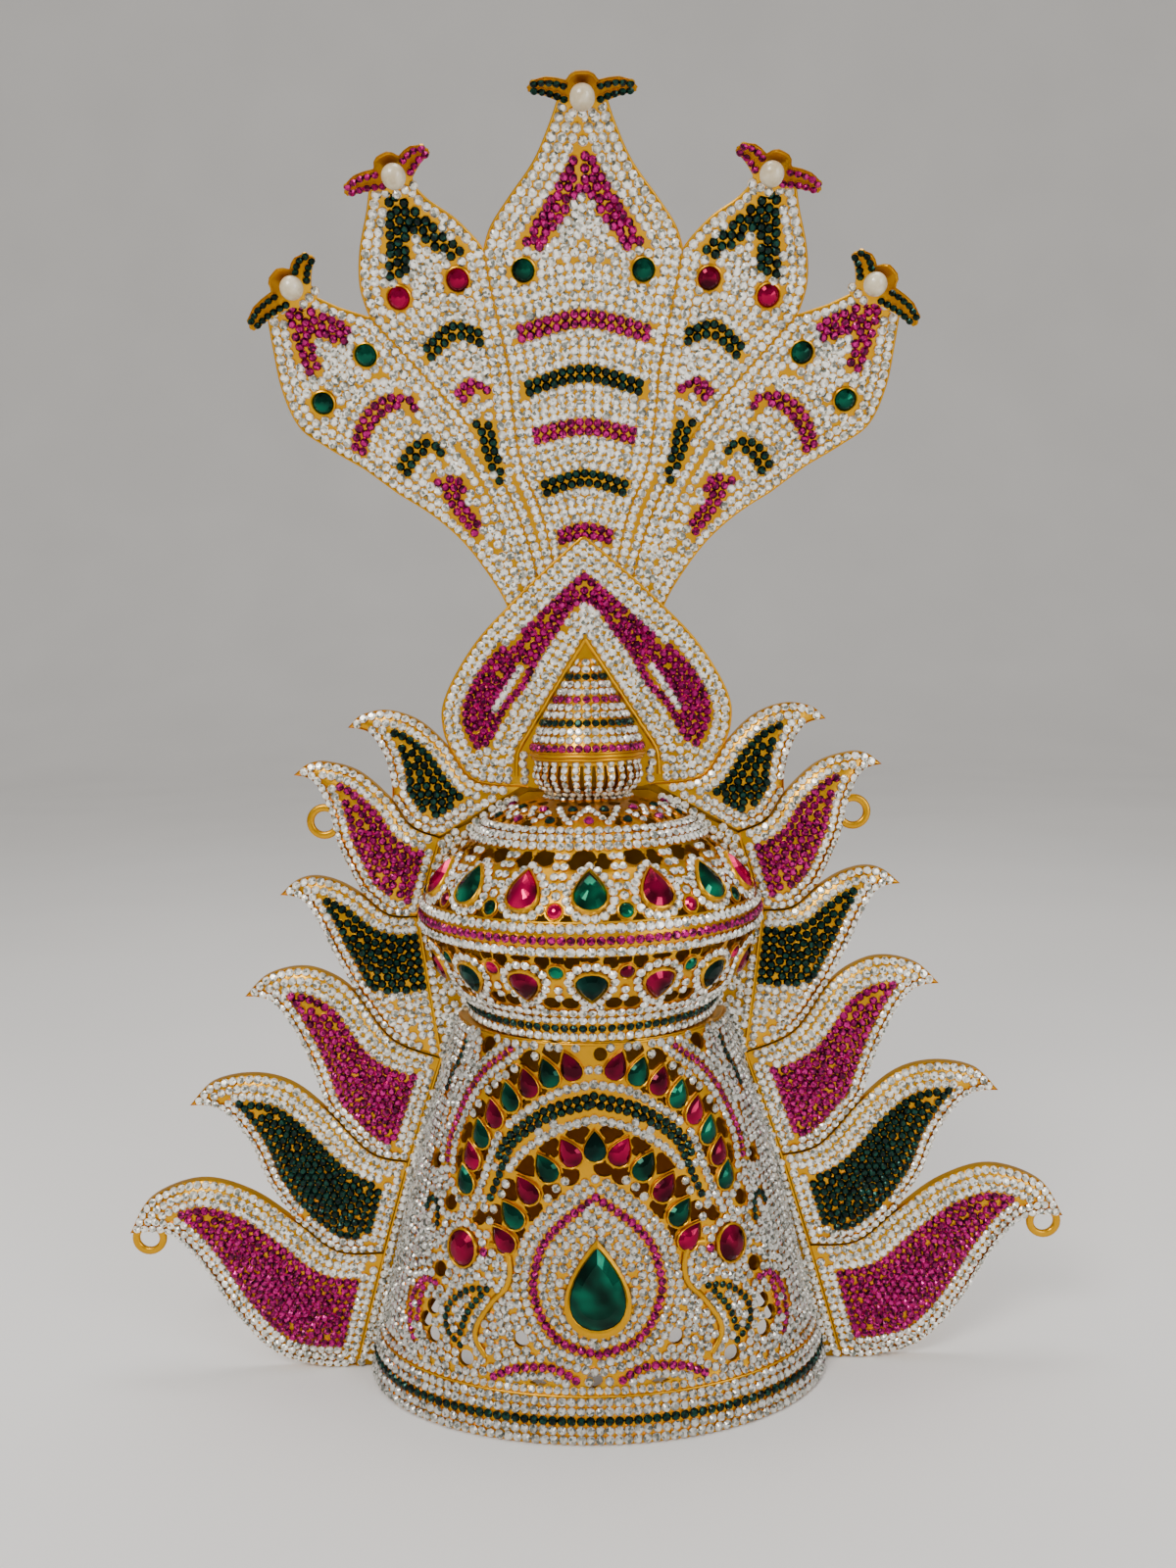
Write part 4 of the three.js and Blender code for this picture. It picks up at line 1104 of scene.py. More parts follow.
def wire_on(surface, path, radius, lift=0.0, squash=1.0):
    """A gold wire laid on a surface along a path of spots."""
    spots = steady(surface, path, lambda length: max(3, int(length / WIRE_STEP)))
    points, normals, _, _ = seats_on(surface, spots)
    return Build().tube(points + normals * lift, radius, WIRE_SIDES, squash, normals)


def hoop(surface, v, reach=89.5, radius=0.5, lift=0.1):
    """A wire round the front of a wall at one height."""
    return wire_on(surface, [(-reach, v), (0, v), (reach, v)], radius, lift)


SHIELD_BAND_OUTER = [(0, 41.2), (7, 35.3), (15, 28), (21.7, 22.4), (28.5, 16.5), (34.4, 10.2),
                     (38.5, 4), (41, -2.2), (41.4, -8), (39.4, -13), (37.2, -17), (35.5, -18.8)]
SHIELD_BAND_INNER = [(0, 33), (5, 29.6), (9.2, 22.8), (14.3, 16.2), (17.7, 10), (21, 3.6),
                     (26.2, -2), (29.5, -7.4), (32, -12.4), (34.5, -16)]
SHIELD_WIRE = [(0, 19.7), (5, 11.8), (10.1, 3.7), (15, -4.1), (20, -12), (24, -19), (24.6, -27)]
SHIELD_SLOT = [(22.6, 10), (31.4, -3.6)]
BESIDE_WIRE = (-2.4, -5.2)    # two rows outside each leg of the wire
FINIAL_HALF = 20.8        # half width that the finial hides on the shield
WIRE_CLEAR = 2.1


def make_shield():
    outline = shield_outline()
    rim = resample(outline, 1.5)
    rim = rim[(np.abs(rim[:, 0]) > 20) | (rim[:, 1] > 0)]
    top = np.vstack([rim[rim[:, 0] < 0], rim[rim[:, 0] >= 0]])
    leg = curve(SHIELD_WIRE, 4)
    wires = [wire_on(shield_point, leg * (side, 1), 0.75, 0.1) for side, _ in SIDES]
    wires.append(wire_on(shield_point, top, 0.5, -0.15, 0.8))
    wires += [wire_on(shield_point, moved(SHIELD_SLOT, shift) * (side, 1), THIN_WIRE, 0.1)
              for side, _ in SIDES for shift in (-1.7, 1.7)]
    plate = bent_sheet(bent_point, outline, SHIELD_THICKNESS, 0.0)
    piece("smooth_shield", joined(plate, *wires), GOLD, "gold", replaces=["shield"])


def shield_stones():
    setting = Setting("shield", shield_point)
    outline = shield_outline()
    wire = curve(SHIELD_WIRE, 4)
    band = np.vstack([moved(curve(SHIELD_BAND_OUTER, 4), -1.0), curve(SHIELD_BAND_INNER, 4)[::-1]])
    band = np.vstack([band, mirror(band)])
    for side, _ in SIDES:
        setting.row("white", resample(SHIELD_SLOT, 0.5) * (side, 1), PITCH - 0.2, closeness=0.88)
    both = np.vstack([resample(wire, 0.4) * (side, 1) for side, _ in SIDES])

    def open_to_white(spots):
        x, s = np.abs(spots[:, 0]), spots[:, 1]
        edge = np.interp(-s, -wire[:, 1], wire[:, 0])
        under = (x < np.where(s < -16, np.minimum(edge, FINIAL_HALF), edge)) & (s < wire[0, 1])
        folded = np.stack([x, s], axis=1)
        return ~inside(folded, band) & (clearance(spots, both) > WIRE_CLEAR) & ~under

    for _, path in inset_rows(outline, 1.8, PITCH - 0.05, 3):
        spots = resample(path, PITCH)
        setting.put("white", spots[open_to_white(spots)], closeness=LAID)
    for line in (moved(wire, shift) for shift in BESIDE_WIRE):
        for side, _ in SIDES:
            spots = resample(line[np.abs(line[:, 0]) > 1] * (side, 1), PITCH)
            setting.put("white", spots[open_to_white(spots) & inside(spots, outline)], closeness=LAID)
    for _, path in inset_rows(band, 1.0, PITCH - 0.3, 2):
        setting.put("pink", resample(path, PITCH), WIDE_STONE, closeness=0.76)
    setting.fill("pink", region_spots(band, 0.6), WIDE_STONE, 0.72)
    field = region_spots(outline, 1.6)
    setting.fill("white", field[open_to_white(field)])
    setting.make()


EYES = {
    "green": [(18.6, 137.3), (69.6, 112.5), (84.7, 97.8)],
    "red": [(39, 134.7), (57.7, 129.5)],
}
# Corners of the colored bars along the tops of the heads.
CHEVRONS = [
    ("pink", [(0, 172.5), (18.4, 144.8), (13.4, 143.2), (0, 160.6)]),
    ("green", [(58.1, 160.9), (60.6, 134.9), (54.4, 136.3), (53.4, 149.5)]),
    ("green", [(58.1, 160.9), (36.5, 142.6), (41, 140.4), (53.4, 149.5)]),
    ("pink", [(94.3, 129.9), (73.6, 121.1), (75.8, 116), (86.9, 119.2)]),
    ("pink", [(94.3, 129.9), (89.1, 106.4), (83.9, 108.6), (86.9, 119.2)]),
]
# Arcs across each head, from the top down; two colored rows start at each, then white.
CROSS_ARCS = {
    "centre": [
        ("pink", [(-20, 120), (0, 124.5), (20, 120)]),
        ("green", [(-17.9, 103.3), (0, 107.9), (17.9, 103.3)]),
        ("pink", [(-16, 88.4), (0, 91.3), (16, 88.4)]),
        ("green", [(-13.3, 71.5), (0, 75), (13.3, 71.5)]),
        ("pink", [(-11.2, 54.5), (0, 57.6), (11.2, 54.5)]),
        ("white", [(-9, 39), (0, 41), (9, 39)]),
    ],
    "inner": [
        ("green", [(50, 114.5), (41.7, 121), (33.5, 119)]),
        ("pink", [(42.5, 98.5), (37, 104), (31.5, 101.5)]),
        ("white", [(35, 86), (31.6, 88.6), (28.6, 88)]),
        ("white", [(30, 64), (27, 69), (23, 66)]),
    ],
    "outer": [
        ("pink", [(75.6, 83.5), (73.6, 90), (69, 96), (63, 99.3), (56.6, 98.5)]),
        ("green", [(61, 77.5), (58, 82.4), (53.6, 85), (49, 84)]),
        ("white", [(47.4, 66), (45.5, 69.5), (42.5, 71.5), (39.5, 71.5)]),
        ("white", [(36, 48), (34.5, 51.5), (32, 54), (29, 54)]),
    ],
}
ROWS_ABOVE = {"centre": 5, "inner": 3, "outer": 2}     # white rows over a head's first arc
WEDGES = [
    ("green", [(29, 90.6), (36.2, 91.4), (34, 83.5), (29, 72), (26.4, 73), (28.8, 81.5)]),
    ("pink", [(41.3, 73.5), (44.8, 76.4), (50, 71.8), (44, 63.2), (37.2, 54.4), (34.4, 56), (38.8, 65)]),
]
ROWS_PER_ARC = 6
HIDDEN_FOOT = 22.0        # length of the hood's sides that the shield hides
BORDER_ROWS = 2


def head_outlines():
    """Right half of the hood, parted into its heads; the centre head is whole."""
    divider_a, divider_b = curve(DIVIDER_A, 4), curve(DIVIDER_B, 4)
    right = np.vstack([curve(HOOD_CENTRE_HEAD, 4), divider_a[1:]])
    centre = np.vstack([right, mirror(right)])
    inner = np.vstack([curve(HOOD_INNER_TOP, 4), curve(HOOD_INNER_SIDE, 4), divider_b[1:],
                       divider_a[::-1][:-1]])
    outer = np.vstack([curve(HOOD_OUTER_TOP, 4), curve(HOOD_OUTER_SIDE, 4), curve(HOOD_STEM, 4)[1:],
                       divider_b[::-1][:-1]])
    return {"centre": centre, "inner": inner, "outer": outer}


def cross_rows(setting, name, outline, colored):
    """Rows across a head, evenly between its arcs; white ones stay inside the border rows."""
    guides = CROSS_ARCS[name]
    arcs = [resample(curve(points, 6), 1.0) for _, points in guides]
    arcs = [at_lengths(arc, np.linspace(0, travelled(arc)[-1], 40)) for arc in arcs]
    step = (arcs[0] - arcs[1]) / ROWS_PER_ARC
    plan = [("white", arcs[0] + step * j) for j in range(ROWS_ABOVE[name], 0, -1)]
    for (color, _), arc, after in zip(guides, arcs, arcs[1:]):
        plan += [(color if j < 2 else "white", arc + (after - arc) * j / ROWS_PER_ARC)
                 for j in range(ROWS_PER_ARC)]
    least = FIRST_ROW + (BORDER_ROWS - (1.1 if colored else 0.1)) * PITCH
    for color, path in plan:
        if (color != "white") != colored:
            continue
        if not colored:
            ends = path + (path - path.mean(axis=0)) * 0.6
            path = np.vstack([ends[:1], path, ends[-1:]])
        spots = resample(path, 0.4)
        spots = spots[inside(spots, outline)]
        if len(spots):
            spots = spots[clearance(spots, resample(closed_path(outline), 0.5)) > least]
        if len(spots) > 2:
            setting.row(color, spots, closeness=0.78)


def head_stones(setting, name, outline):
    """Colored rows across a head, its border rows, its white rows, and the rest filled."""
    cross_rows(setting, name, outline, True)
    top = max(s for _, s in CROSS_ARCS[name][0][1]) + 8
    for k, path in inset_rows(outline, FIRST_ROW - 0.1, PITCH - 0.05, BORDER_ROWS + 2):
        spots = resample(path, PITCH)
        kept = (spots[:, 0] > -0.5) & ((k < BORDER_ROWS) | (spots[:, 1] > top))
        setting.put("white", spots[kept], closeness=0.7)
    cross_rows(setting, name, outline, False)
    field = region_spots(outline, FIRST_ROW - 0.2)
    x = field[:, 0]
    setting.fill("white", field[(np.abs(x) < 0.3) | (x > CHATON / 2)])


def hood_stones():
    setting = Setting("hood", hood_point)
    for spots in EYES.values():
        setting.block(hood_point(*np.array(spots).T), EYE_RADIUS + 0.6)
    for bars, closeness in ((CHEVRONS, 0.74), (WEDGES, PACKED)):
        for color, corners in bars:
            setting.fill(color, region_spots(corners, 0.6), closeness=closeness)
    for name, outline in head_outlines().items():
        head_stones(setting, name, outline)
    for rows in setting.stones.values():
        rows[:] = [row for row in rows if row[3][0] > -0.9 and not under_shield(*row[3])]
    setting.reflect()
    setting.make()


def under_shield(x, s):
    """True where the shield's tip hides the hood."""
    tip = curve(SHIELD_SIDE, 6)
    return s < np.interp(abs(x), tip[:, 0], tip[:, 1]) - 2.0


def make_hood():
    side = hood_side()
    plate = bent_sheet(hood_point, np.vstack([side, mirror(side)]), 0.0, -HOOD_SHEET)
    trims = [(side[side[:, 1] > HIDDEN_FOOT], TRIM_WIRE)]
    trims += [(curve(divider, 5), THIN_WIRE) for divider in (DIVIDER_A, DIVIDER_B)]
    wires = [wire_on(hood_point, path * (flip, 1), radius) for flip, _ in SIDES for path, radius in trims]
    piece("smooth_hood", joined(plate, *wires), GOLD, "gold", replaces=["naga_hood"])


# ---------------------------------------------------------------- large stones

COLLAR = 0.6              # thickness of the gold collar round a large stone


def bezel_shape(outline, size, height, collar=COLLAR):
    """Gold collar round a large stone."""
    share = collar / size[0]
    levels = [(1.04 + 2 * share, -0.9), (1 + 2 * share, 0.36 * height),
              (1 + 0.7 * share, 0.46 * height), (0.985, 0.34 * height)]
    return stacked(outline * size, levels)


def seated(shape, surface, u, v, roll=0.0, lift=0.0):
    """A shape standing on a surface, its top along the surface's second direction."""
    points, normals, _, up = seats_on(surface, np.array([[u, v]], float))
    return planted(shape, points + normals * lift, normals, [1.0], np.array([roll]), unit(up))


def ring_on(surface, u, v, outline, size, grow, roll=0.0):
    """Spots of a closed ring round a large stone, grow millimetres outside it."""
    flat = outline * size
    flat = flat + grow * rightward(flat, closed=True)
    c, s = math.cos(roll), math.sin(roll)
    turned = np.stack([flat[:, 0] * c - flat[:, 1] * s, flat[:, 0] * s + flat[:, 1] * c], axis=1)
    return (u, v) + turned / spot_scale(surface, u, v)


def open_gaps(setting, seeds):
    """Gaps cut round spots, as wide as the stones near them allow, then on the left too."""
    gaps = []
    for u, v, reach in seeds:
        step = 1 / spot_scale(setting.surface, u, v)
        close = np.linalg.norm(setting.taken - setting.surface(u, v), axis=1) < reach + 6
        if not close.any():
            continue
        stones, sizes = setting.taken[close], setting.reach[close]

        def room(offsets):
            points = setting.surface(*((u, v) + offsets * step).T)
            away = np.linalg.norm(points[:, None, :] - stones[None, :, :], axis=2)
            return (away - sizes).min(axis=1)

        tries = hex_spots((-GAP_TRY, -GAP_TRY), (GAP_TRY + 0.1, GAP_TRY + 0.1), 0.4)
        rooms = room(tries)
        if rooms.max() < GAP_LEAST:
            continue
        start = tries[int(np.argmax(rooms))]
        out = circle(GAP_CORNERS)
        reached = np.full(GAP_CORNERS, GAP_START)
        growing = np.full(GAP_CORNERS, True)
        for distance in np.arange(2 * GAP_STEP, reach, GAP_STEP):
            growing &= room(start + out * distance) > GAP_EDGE
            reached[growing] = distance
        for _ in range(4):
            beside = np.minimum(np.roll(reached, 1), np.roll(reached, -1))
            reached = np.minimum(reached, GAP_SLACK + beside)
        gap = (u, v) + (start + out * reached[:, None]) * step
        gaps.append(gap)
        setting.block(setting.surface(*gap.T), 0.15)
        setting.block(setting.surface(*gap.mean(axis=0)), 0.8)
    return gaps + [gap * (-1, 1) for gap in gaps if gap[:, 0].min() > 0.5]


COLLAR_REACH = 0.75       # room kept round the points of a collar


class Gems:
    """Large stones and their collars, gathered for one wall."""

    def __init__(self, setting):
        self.setting = setting
        self.collars = Build()
        self.loose = {}

    def set(self, color, u, v, outline, size, height, lift, roll=0.0, node=None, collar=COLLAR):
        """A stone in its collar, as a piece of its own where it stands for a node."""
        seat = (self.setting.surface, u, v)
        stone = seated(drop_shape(outline, size, height), *seat, roll, lift)
        self.collars.add(*seated(bezel_shape(outline, size, height, collar), *seat, roll, lift))
        rim = self.setting.surface(*ring_on(*seat, outline, size, 0.0, roll).T)
        middle = rim.mean(axis=0)
        for share in (1.0, 0.6, 0.2):
            self.setting.block(middle + (rim - middle) * share, COLLAR_REACH)
        if node:
            piece(f"cut_{node}", Build().add(*stone), *LOOKS[color], smooth=False, replaces=[node])
        else:
            self.loose.setdefault(color, Build()).add(*stone)

    def make(self, name):
        piece(f"{name}_collars", self.collars, GOLD, "gold")
        for color, build in self.loose.items():
            piece(f"{name}_{color}_drops", build, *LOOKS[color], smooth=False)


def make_eyes():
    """Round stones in gold collars on the hood."""
    collars = Build()
    stones = {name: Build() for name in EYES}
    outline = round_outline(16)
    size = (2 * EYE_RADIUS - 0.9,) * 2
    for name, spots in EYES.items():
        for x, s in spots:
            for side, _ in SIDES:
                seat = (hood_point, side * x, s, 0.0, 0.3)
                stones[name].add(*seated(drop_shape(outline, size, 2.2), *seat))
                collars.add(*seated(bezel_shape(outline, size, 2.2), *seat))
    piece("eye_collars", collars, GOLD, "gold")
    piece("green_eyes", stones["green"], *LOOKS["deep_emerald"], smooth=False)
    piece("red_eyes", stones["red"], *LOOKS["deep_ruby"], smooth=False)


# ---------------------------------------------------------------- crests and pearls

def crest_frames():
    """Each crest's name, that of its head, its middle, axes and wing scales."""
    for name, (x, s), tilt, (inner, outer) in HEADS:
        for side, label in SIDES if x else [(0, None)]:
            points, normals, _, up = seats_on(hood_point, np.array([[side * x, s]], float))
            n, up = normals[0], unit(up)[0]
            across = unit(np.cross(up, n))
            upward = np.cross(n, across)
            roll = math.radians(-side * tilt)
            c, sn = math.cos(roll), math.sin(roll)
            axes = (across * c + upward * sn, upward * c - across * sn, n)
            wings = (outer, inner) if side < 0 else (inner, outer)
            yield f"{name}_{label}" if label else name, name, points[0], axes, wings


def crest_surface(middle, axes):
    """A crest's sheet, which curls away from the hood toward its top."""
    def point(across, height, lift=0.0):
        out = GAP + CREST_CURL * np.maximum(0, height - CREST_CURL_START) ** 2 + lift
        measures = np.broadcast_arrays(across, height, out)
        return sum((m[..., None] * axis for m, axis in zip(measures, axes)), middle)

    return point


CREST_FRONT = 0.8 * CREST_SHEET
CREST_ROWS = (0.22, 0.74)     # heights of a wing's two rows, in shares of its height
CREST_ROW_SPAN = (5.2, 13.6)
CREST_PITCH = 2.35
CREST_WIRE = 0.42


def crest_leaf(surface, wings):
    """A crest's sheet with closed sides and a rolled upper edge."""
    t = np.linspace(-CREST_ACROSS[-1], CREST_ACROSS[-1], 44)
    lower = np.interp(np.abs(t), CREST_ACROSS, CREST_LOWER)
    upper = np.interp(np.abs(t), CREST_ACROSS, CREST_UPPER) - CREST_TRIM
    across = t * np.where(t < 0, *wings)
    height = lower + (upper - lower) * np.linspace(0, 1, 9)[:, None]
    front, back = surface(across, height, CREST_FRONT), surface(across, height)
    build = Build().grid(front).grid(back, flip=True).grid([front[0], back[0]])
    build.grid([back[-1], front[-1]]).grid([front[:, 0], back[:, 0]], flip=True)
    build.grid([front[:, -1], back[:, -1]])
    return build.tube(surface(across, upper - 0.52, CREST_SHEET * 0.55), CREST_WIRE)


def crest_stones(label, surface, wings, color):
    setting = Setting(f"crest_{label}", lambda u, v: surface(u, v, CREST_FRONT))
    a = np.linspace(*CREST_ROW_SPAN, 12)
    low, high = (np.interp(a, CREST_ACROSS, edge) for edge in (CREST_LOWER, CREST_UPPER))
    for side, scale in zip((-1, 1), wings):
        for share in CREST_ROWS:
            path = np.stack([side * a * scale, low + (high - low) * share], axis=1)
            setting.row(color, path, CREST_PITCH, SLIM_STONE, 0.7)
    setting.row("white", [(-2.8, -5.6), (2.8, -5.6)], 2.8, 2.75)
    setting.make()


def ball(centre, radius):
    t = np.linspace(0, np.pi, 17)[:, None]
    a = turns_of(28)
    rows = xyz(np.sin(t) * np.cos(a), np.sin(t) * np.sin(a), np.cos(t))
    return Build().grid(centre + radius * rows, closed=True, flip=True)


def make_crests():
    for label, name, middle, axes, wings in crest_frames():
        surface = crest_surface(middle, axes)
        piece(f"leaf_{label}", crest_leaf(surface, wings), GOLD, "gold", replaces=[f"crest_{label}"])
        crest_stones(label, surface, wings, "pink" if name == "inner" else "green")
        pearl = ball(middle + axes[1] * -0.3 + axes[2] * PEARL_LIFT, PEARL_RADIUS)
        piece(f"round_pearl_{label}", pearl, *LOOKS["pearl"], replaces=[f"pearl_{label}"])


# ---------------------------------------------------------------- pierced walls

def pierced_wall(surface, u_values, v_values, gaps, u_scale, thickness):
    """A wall with gaps cut through, as gathered points and faces."""
    scale = np.array([u_scale, 1.0])
    grid = np.array([(u, v) for v in v_values for u in u_values]) * scale
    gaps = [gap * scale for gap in gaps]
    keep = np.ones(len(grid), bool)
    for gap in gaps:
        near = np.where(np.linalg.norm(grid - gap.mean(axis=0), axis=1) < 12)[0]
        keep[near] &= ~inside(grid[near], gap) & (clearance(grid[near], gap) >= 0.7)
    border = ((grid == grid.min(axis=0)) | (grid == grid.max(axis=0))).any(axis=1)
    points = grid[keep | border]
    links = []
    for gap in gaps:
        links += loop_links(len(points), len(gap))
        points = np.vstack([points, gap])
    flat, triangles, middles = meshed(points, links)
    cut = np.any([inside(middles, gap) for gap in gaps], axis=0)
    return walled(surface, flat / scale, triangles[~cut], 0.0, -thickness)


OUTER_ARCH = (44.5, 82, 42)   # half angle, foot and rise
INNER_ARCH = (28, 61, 36.5)
OUTER_STEP = 11.2             # degrees along the arch from one drop to the next
OUTER_LEAN = math.radians(24)


def outer_arch():
    """Seats of the drum's outer arch: angle, z, lean and step."""
    half, foot, rise = OUTER_ARCH
    turns = [(math.radians(OUTER_STEP * k), k) for k in range(1, 9)]
    return [(half * math.sin(t), foot + rise * math.cos(t), OUTER_LEAN, k) for t, k in turns]


def inner_arch():
    """The same for the inner arch, whose first seat is upright at its top."""
    half, foot, rise = INNER_ARCH
    seats = []
    for k in range(6):
        t = math.radians(17.5 * k - 0.3 * k * k)
        lean = math.radians(28 + 3.5 * k) if k else 0.0
        seats.append((half * math.sin(t), foot + rise * math.cos(t) ** 1.2, lean, k))
    return seats


def arch_gaps(seats, shift, reach):
    """Seeds of the gaps between neighbouring drops, to one side of their line."""
    seeds = []
    for a, b in zip(seats, seats[1:]):
        angle, z = (a[0] + b[0]) / 2, (a[1] + b[1]) / 2
        wide, high = spot_scale(drum_point, angle, z)
        along = unit(np.array([(b[0] - a[0]) * wide, (b[1] - a[1]) * high]))
        seeds.append((angle - along[1] * shift / wide, z + along[0] * shift / high, reach))
    return seeds


def drum_gaps():
    return [
        *arch_gaps(outer_arch(), 3.8, 4.2),
        *arch_gaps(outer_arch(), -3.6, 3.8),
        *arch_gaps(inner_arch(), 4.0, 4.4),
        *arch_gaps(inner_arch(), -4.0, 4.0),
        (4.4, 125.5, 2.5), (29, 125.6, 2.5), (44, 125, 3.5), (16, 19.6, 3.8), (0, 20.4, 3),
        (12.5, 29.6, 2.6), (18.6, 35, 3), (37, 25.5, 3), (46.6, 30, 3), (50, 36, 3), (53, 33, 3),
        (24.4, 56, 2.5), (37, 71.5, 3), (48.6, 72, 3), (60, 86, 3), (62, 56, 3), (48, 50, 3),
    ]


DRUM_TURN = 65.0          # radius that turns the drum's degrees into lengths
DOME_TURN = 55.0
CUP_TURN = 19.0
ARCH_BARE = 5.6           # reach of the bare gold beside each arch of drops
OUTER_DROP = (7.0, 9.9)
INNER_DROP = (7.3, 10.2)
CENTRE_DROP = (18.5, 27.5)
SIDE_STONE = (10.6, 12)
SIDE_STONE_SPOT = (41, 60)
MEDALLION = [(0, 80.7), (9.3, 73), (15.4, 64.3), (17.2, 55.2), (17.2, 48.8), (13.8, 38.9),
             (8.7, 32.7), (0, 29.3)]
ROW_A = [(0, 117.4), (5.4, 116.5), (12.7, 114.7), (19.8, 110.6), (26.8, 105.4), (32.1, 100.5),
         (34.4, 96), (35.8, 88.7), (37.7, 80.6), (40.4, 71.5)]
GREEN_ARCH = [(0, 113.7), (12.4, 110.6), (19.4, 107.1), (26.3, 101.9), (30.6, 96.9), (33.1, 89.1),
              (35.9, 78.9)]
ROW_B = [(0, 106.1), (10.3, 103.4), (20.3, 97.4), (25.1, 92.8), (30, 84.8), (35.1, 74.5)]
SIDE_ARC = [(33.9, 127), (38, 123.9), (42.4, 121), (46.4, 116.8), (49.1, 113.1), (51.3, 109.7),
            (53.9, 101.9), (56, 93.7), (55, 86.3)]
SWAG = [(4.2, 18.5), (5.7, 20.7), (8.1, 22.8), (11, 24.4), (14.7, 24.7), (18.5, 24.2), (22.4, 23),
        (26.2, 20.3), (28.9, 18.5)]
GREEN_SLIT = [(61.3, 125.3), (62.5, 119.7), (64.7, 115.2), (67.6, 108)]
GREEN_COMMA = [(61.8, 68.5), (60.4, 71.7), (55.7, 71), (54, 64.8)]
PINK_LEAF = [(50, 45.5), (55.4, 45.1), (59.8, 39.1), (60.2, 33.2), (59.3, 28.4), (56.6, 24.6)]
PINK_VEIN = [(55.4, 42), (56, 38.1), (56.1, 31.3)]
GREEN_LEAF = [(31.1, 48), (36.2, 47), (40.4, 43.9), (43.4, 39.8), (43.9, 35.3), (42.4, 31.4), (37.8, 27.8)]
GREEN_VEIN = [(32.8, 45.7), (35.5, 41.5), (37.2, 37.2), (38.3, 31.9)]
SCROLL = [(31.6, 62.8), (27.6, 62.9), (25.5, 60.6), (24.3, 54.4), (25.4, 49.4), (28.2, 45.6),
          (30.3, 41.9), (32.7, 36.6), (33.1, 31.6), (29.4, 25.9)]
RIM_ROWS = [("white", 1.75), ("white", 4.85), ("green", 8.0), ("white", 11.15), ("white", 14.3)]
# Lines of stones on the drum: line, color, pitch, width and the steps to the line's left.
DRUM_ROWS = [
    (MEDALLION, "pink", PITCH, CHATON, [0]),
    (MEDALLION, "white", PITCH, CHATON, [3.0, 5.9, -3.0, -5.9]),
    (ROW_A, "white", PITCH, WIDE_STONE, [0]),
    (GREEN_ARCH, "green", PITCH, CHATON, [0, -2.7]),
    (ROW_B, "white", PITCH, WIDE_STONE, [0]),
    (SIDE_ARC, "pink", SLIM_PITCH, 2.4, [0]),
    (SIDE_ARC, "white", PITCH, CHATON, [2.9, -2.9]),
    (SWAG, "pink", PITCH, CHATON, [0]),
    (SWAG, "white", PITCH, CHATON, [2.95]),
    *((line, "green", SLIM_PITCH, SLIM_STONE, [0])
      for line in (GREEN_SLIT, GREEN_COMMA, GREEN_LEAF, GREEN_VEIN)),
    *((line, "pink", SLIM_PITCH, SLIM_STONE, [0]) for line in (PINK_LEAF, PINK_VEIN)),
]


def make_drum(gaps):
    levels = [0, 4, 8.5, 13, 16, 17, 17.4, 17.8, 18.2, *np.arange(21, 130, 3.4), DRUM_HEIGHT]
    wall = pierced_wall(drum_point, np.linspace(-90, 90, 91), levels, gaps, math.radians(DRUM_TURN), PIERCED)
    wires = [hoop(drum_point, z) for z in (16.0, 130.2)]
    wires += [wire_on(drum_point, curve(SCROLL, 6) * (side, 1), 1.1, 0.3) for side, _ in SIDES]
    piece("smooth_drum", joined(wall, *wires), GOLD, "gold", replaces=["drum"])


def drum_gems(setting):
    gems = Gems(setting)
    pear, disc = pear_outline(16), round_outline(16)
    gems.set("deep_emerald", 0, 51.5, pear_outline(28), CENTRE_DROP, 4.0, 0.8, 0.0, "centre_drop", 1.6)
    arches = ((inner_arch()[1:], INNER_DROP, 0.4, "arch_drop"), (outer_arch(), OUTER_DROP, 0.2, None))
    for side, label in SIDES:
        angle, z = SIDE_STONE_SPOT
        gems.set("deep_ruby", side * angle, z, disc, SIDE_STONE, 2.6, 0.5, 0.0, f"side_stone_{label}")
        for arch, size, lift, name in arches:
            for angle, z, lean, k in arch:
                node = f"{name}_{label}_{k}" if name else None
                color = "deep_ruby" if k % 2 else "deep_emerald"
                gems.set(color, side * angle, z, pear, size, 1.8, lift, -side * lean, node, 0.4)
    angle, z, _, _ = inner_arch()[0]
    gems.set("dark_emerald", angle, z, pear, INNER_DROP, 1.8, 0.4, 0.0, "arch_drop_top", 0.4)
    gems.make("drum")


def drum_lines(setting):
    """The rows that draw the drum's bands, arches, leaves and scrolls."""
    setting.row("white", level_line(17.5), 2.75, 2.6)
    for color, z in RIM_ROWS:
        setting.row(color, level_line(z), BODY_PITCH, WIDE_STONE)
    for line, color, pitch, size, shifts in DRUM_ROWS:
        for shift in shifts:
            setting.row(color, curve(line, 6), pitch, size, side=shift)
    setting.row("white", curve(SWAG, 6)[10:-10], side=-2.95)
    setting.put("pink", (33.5, 60), WIDE_STONE)
    scroll = curve(SCROLL, 6)
    setting.row("white", scroll, side=1.9)
    ring = ring_on(drum_point, *SIDE_STONE_SPOT, round_outline(24), SIDE_STONE, 2.2)
    setting.row("white", closed_path(ring))
    setting.block(drum_point(*scroll.T), 0.9)


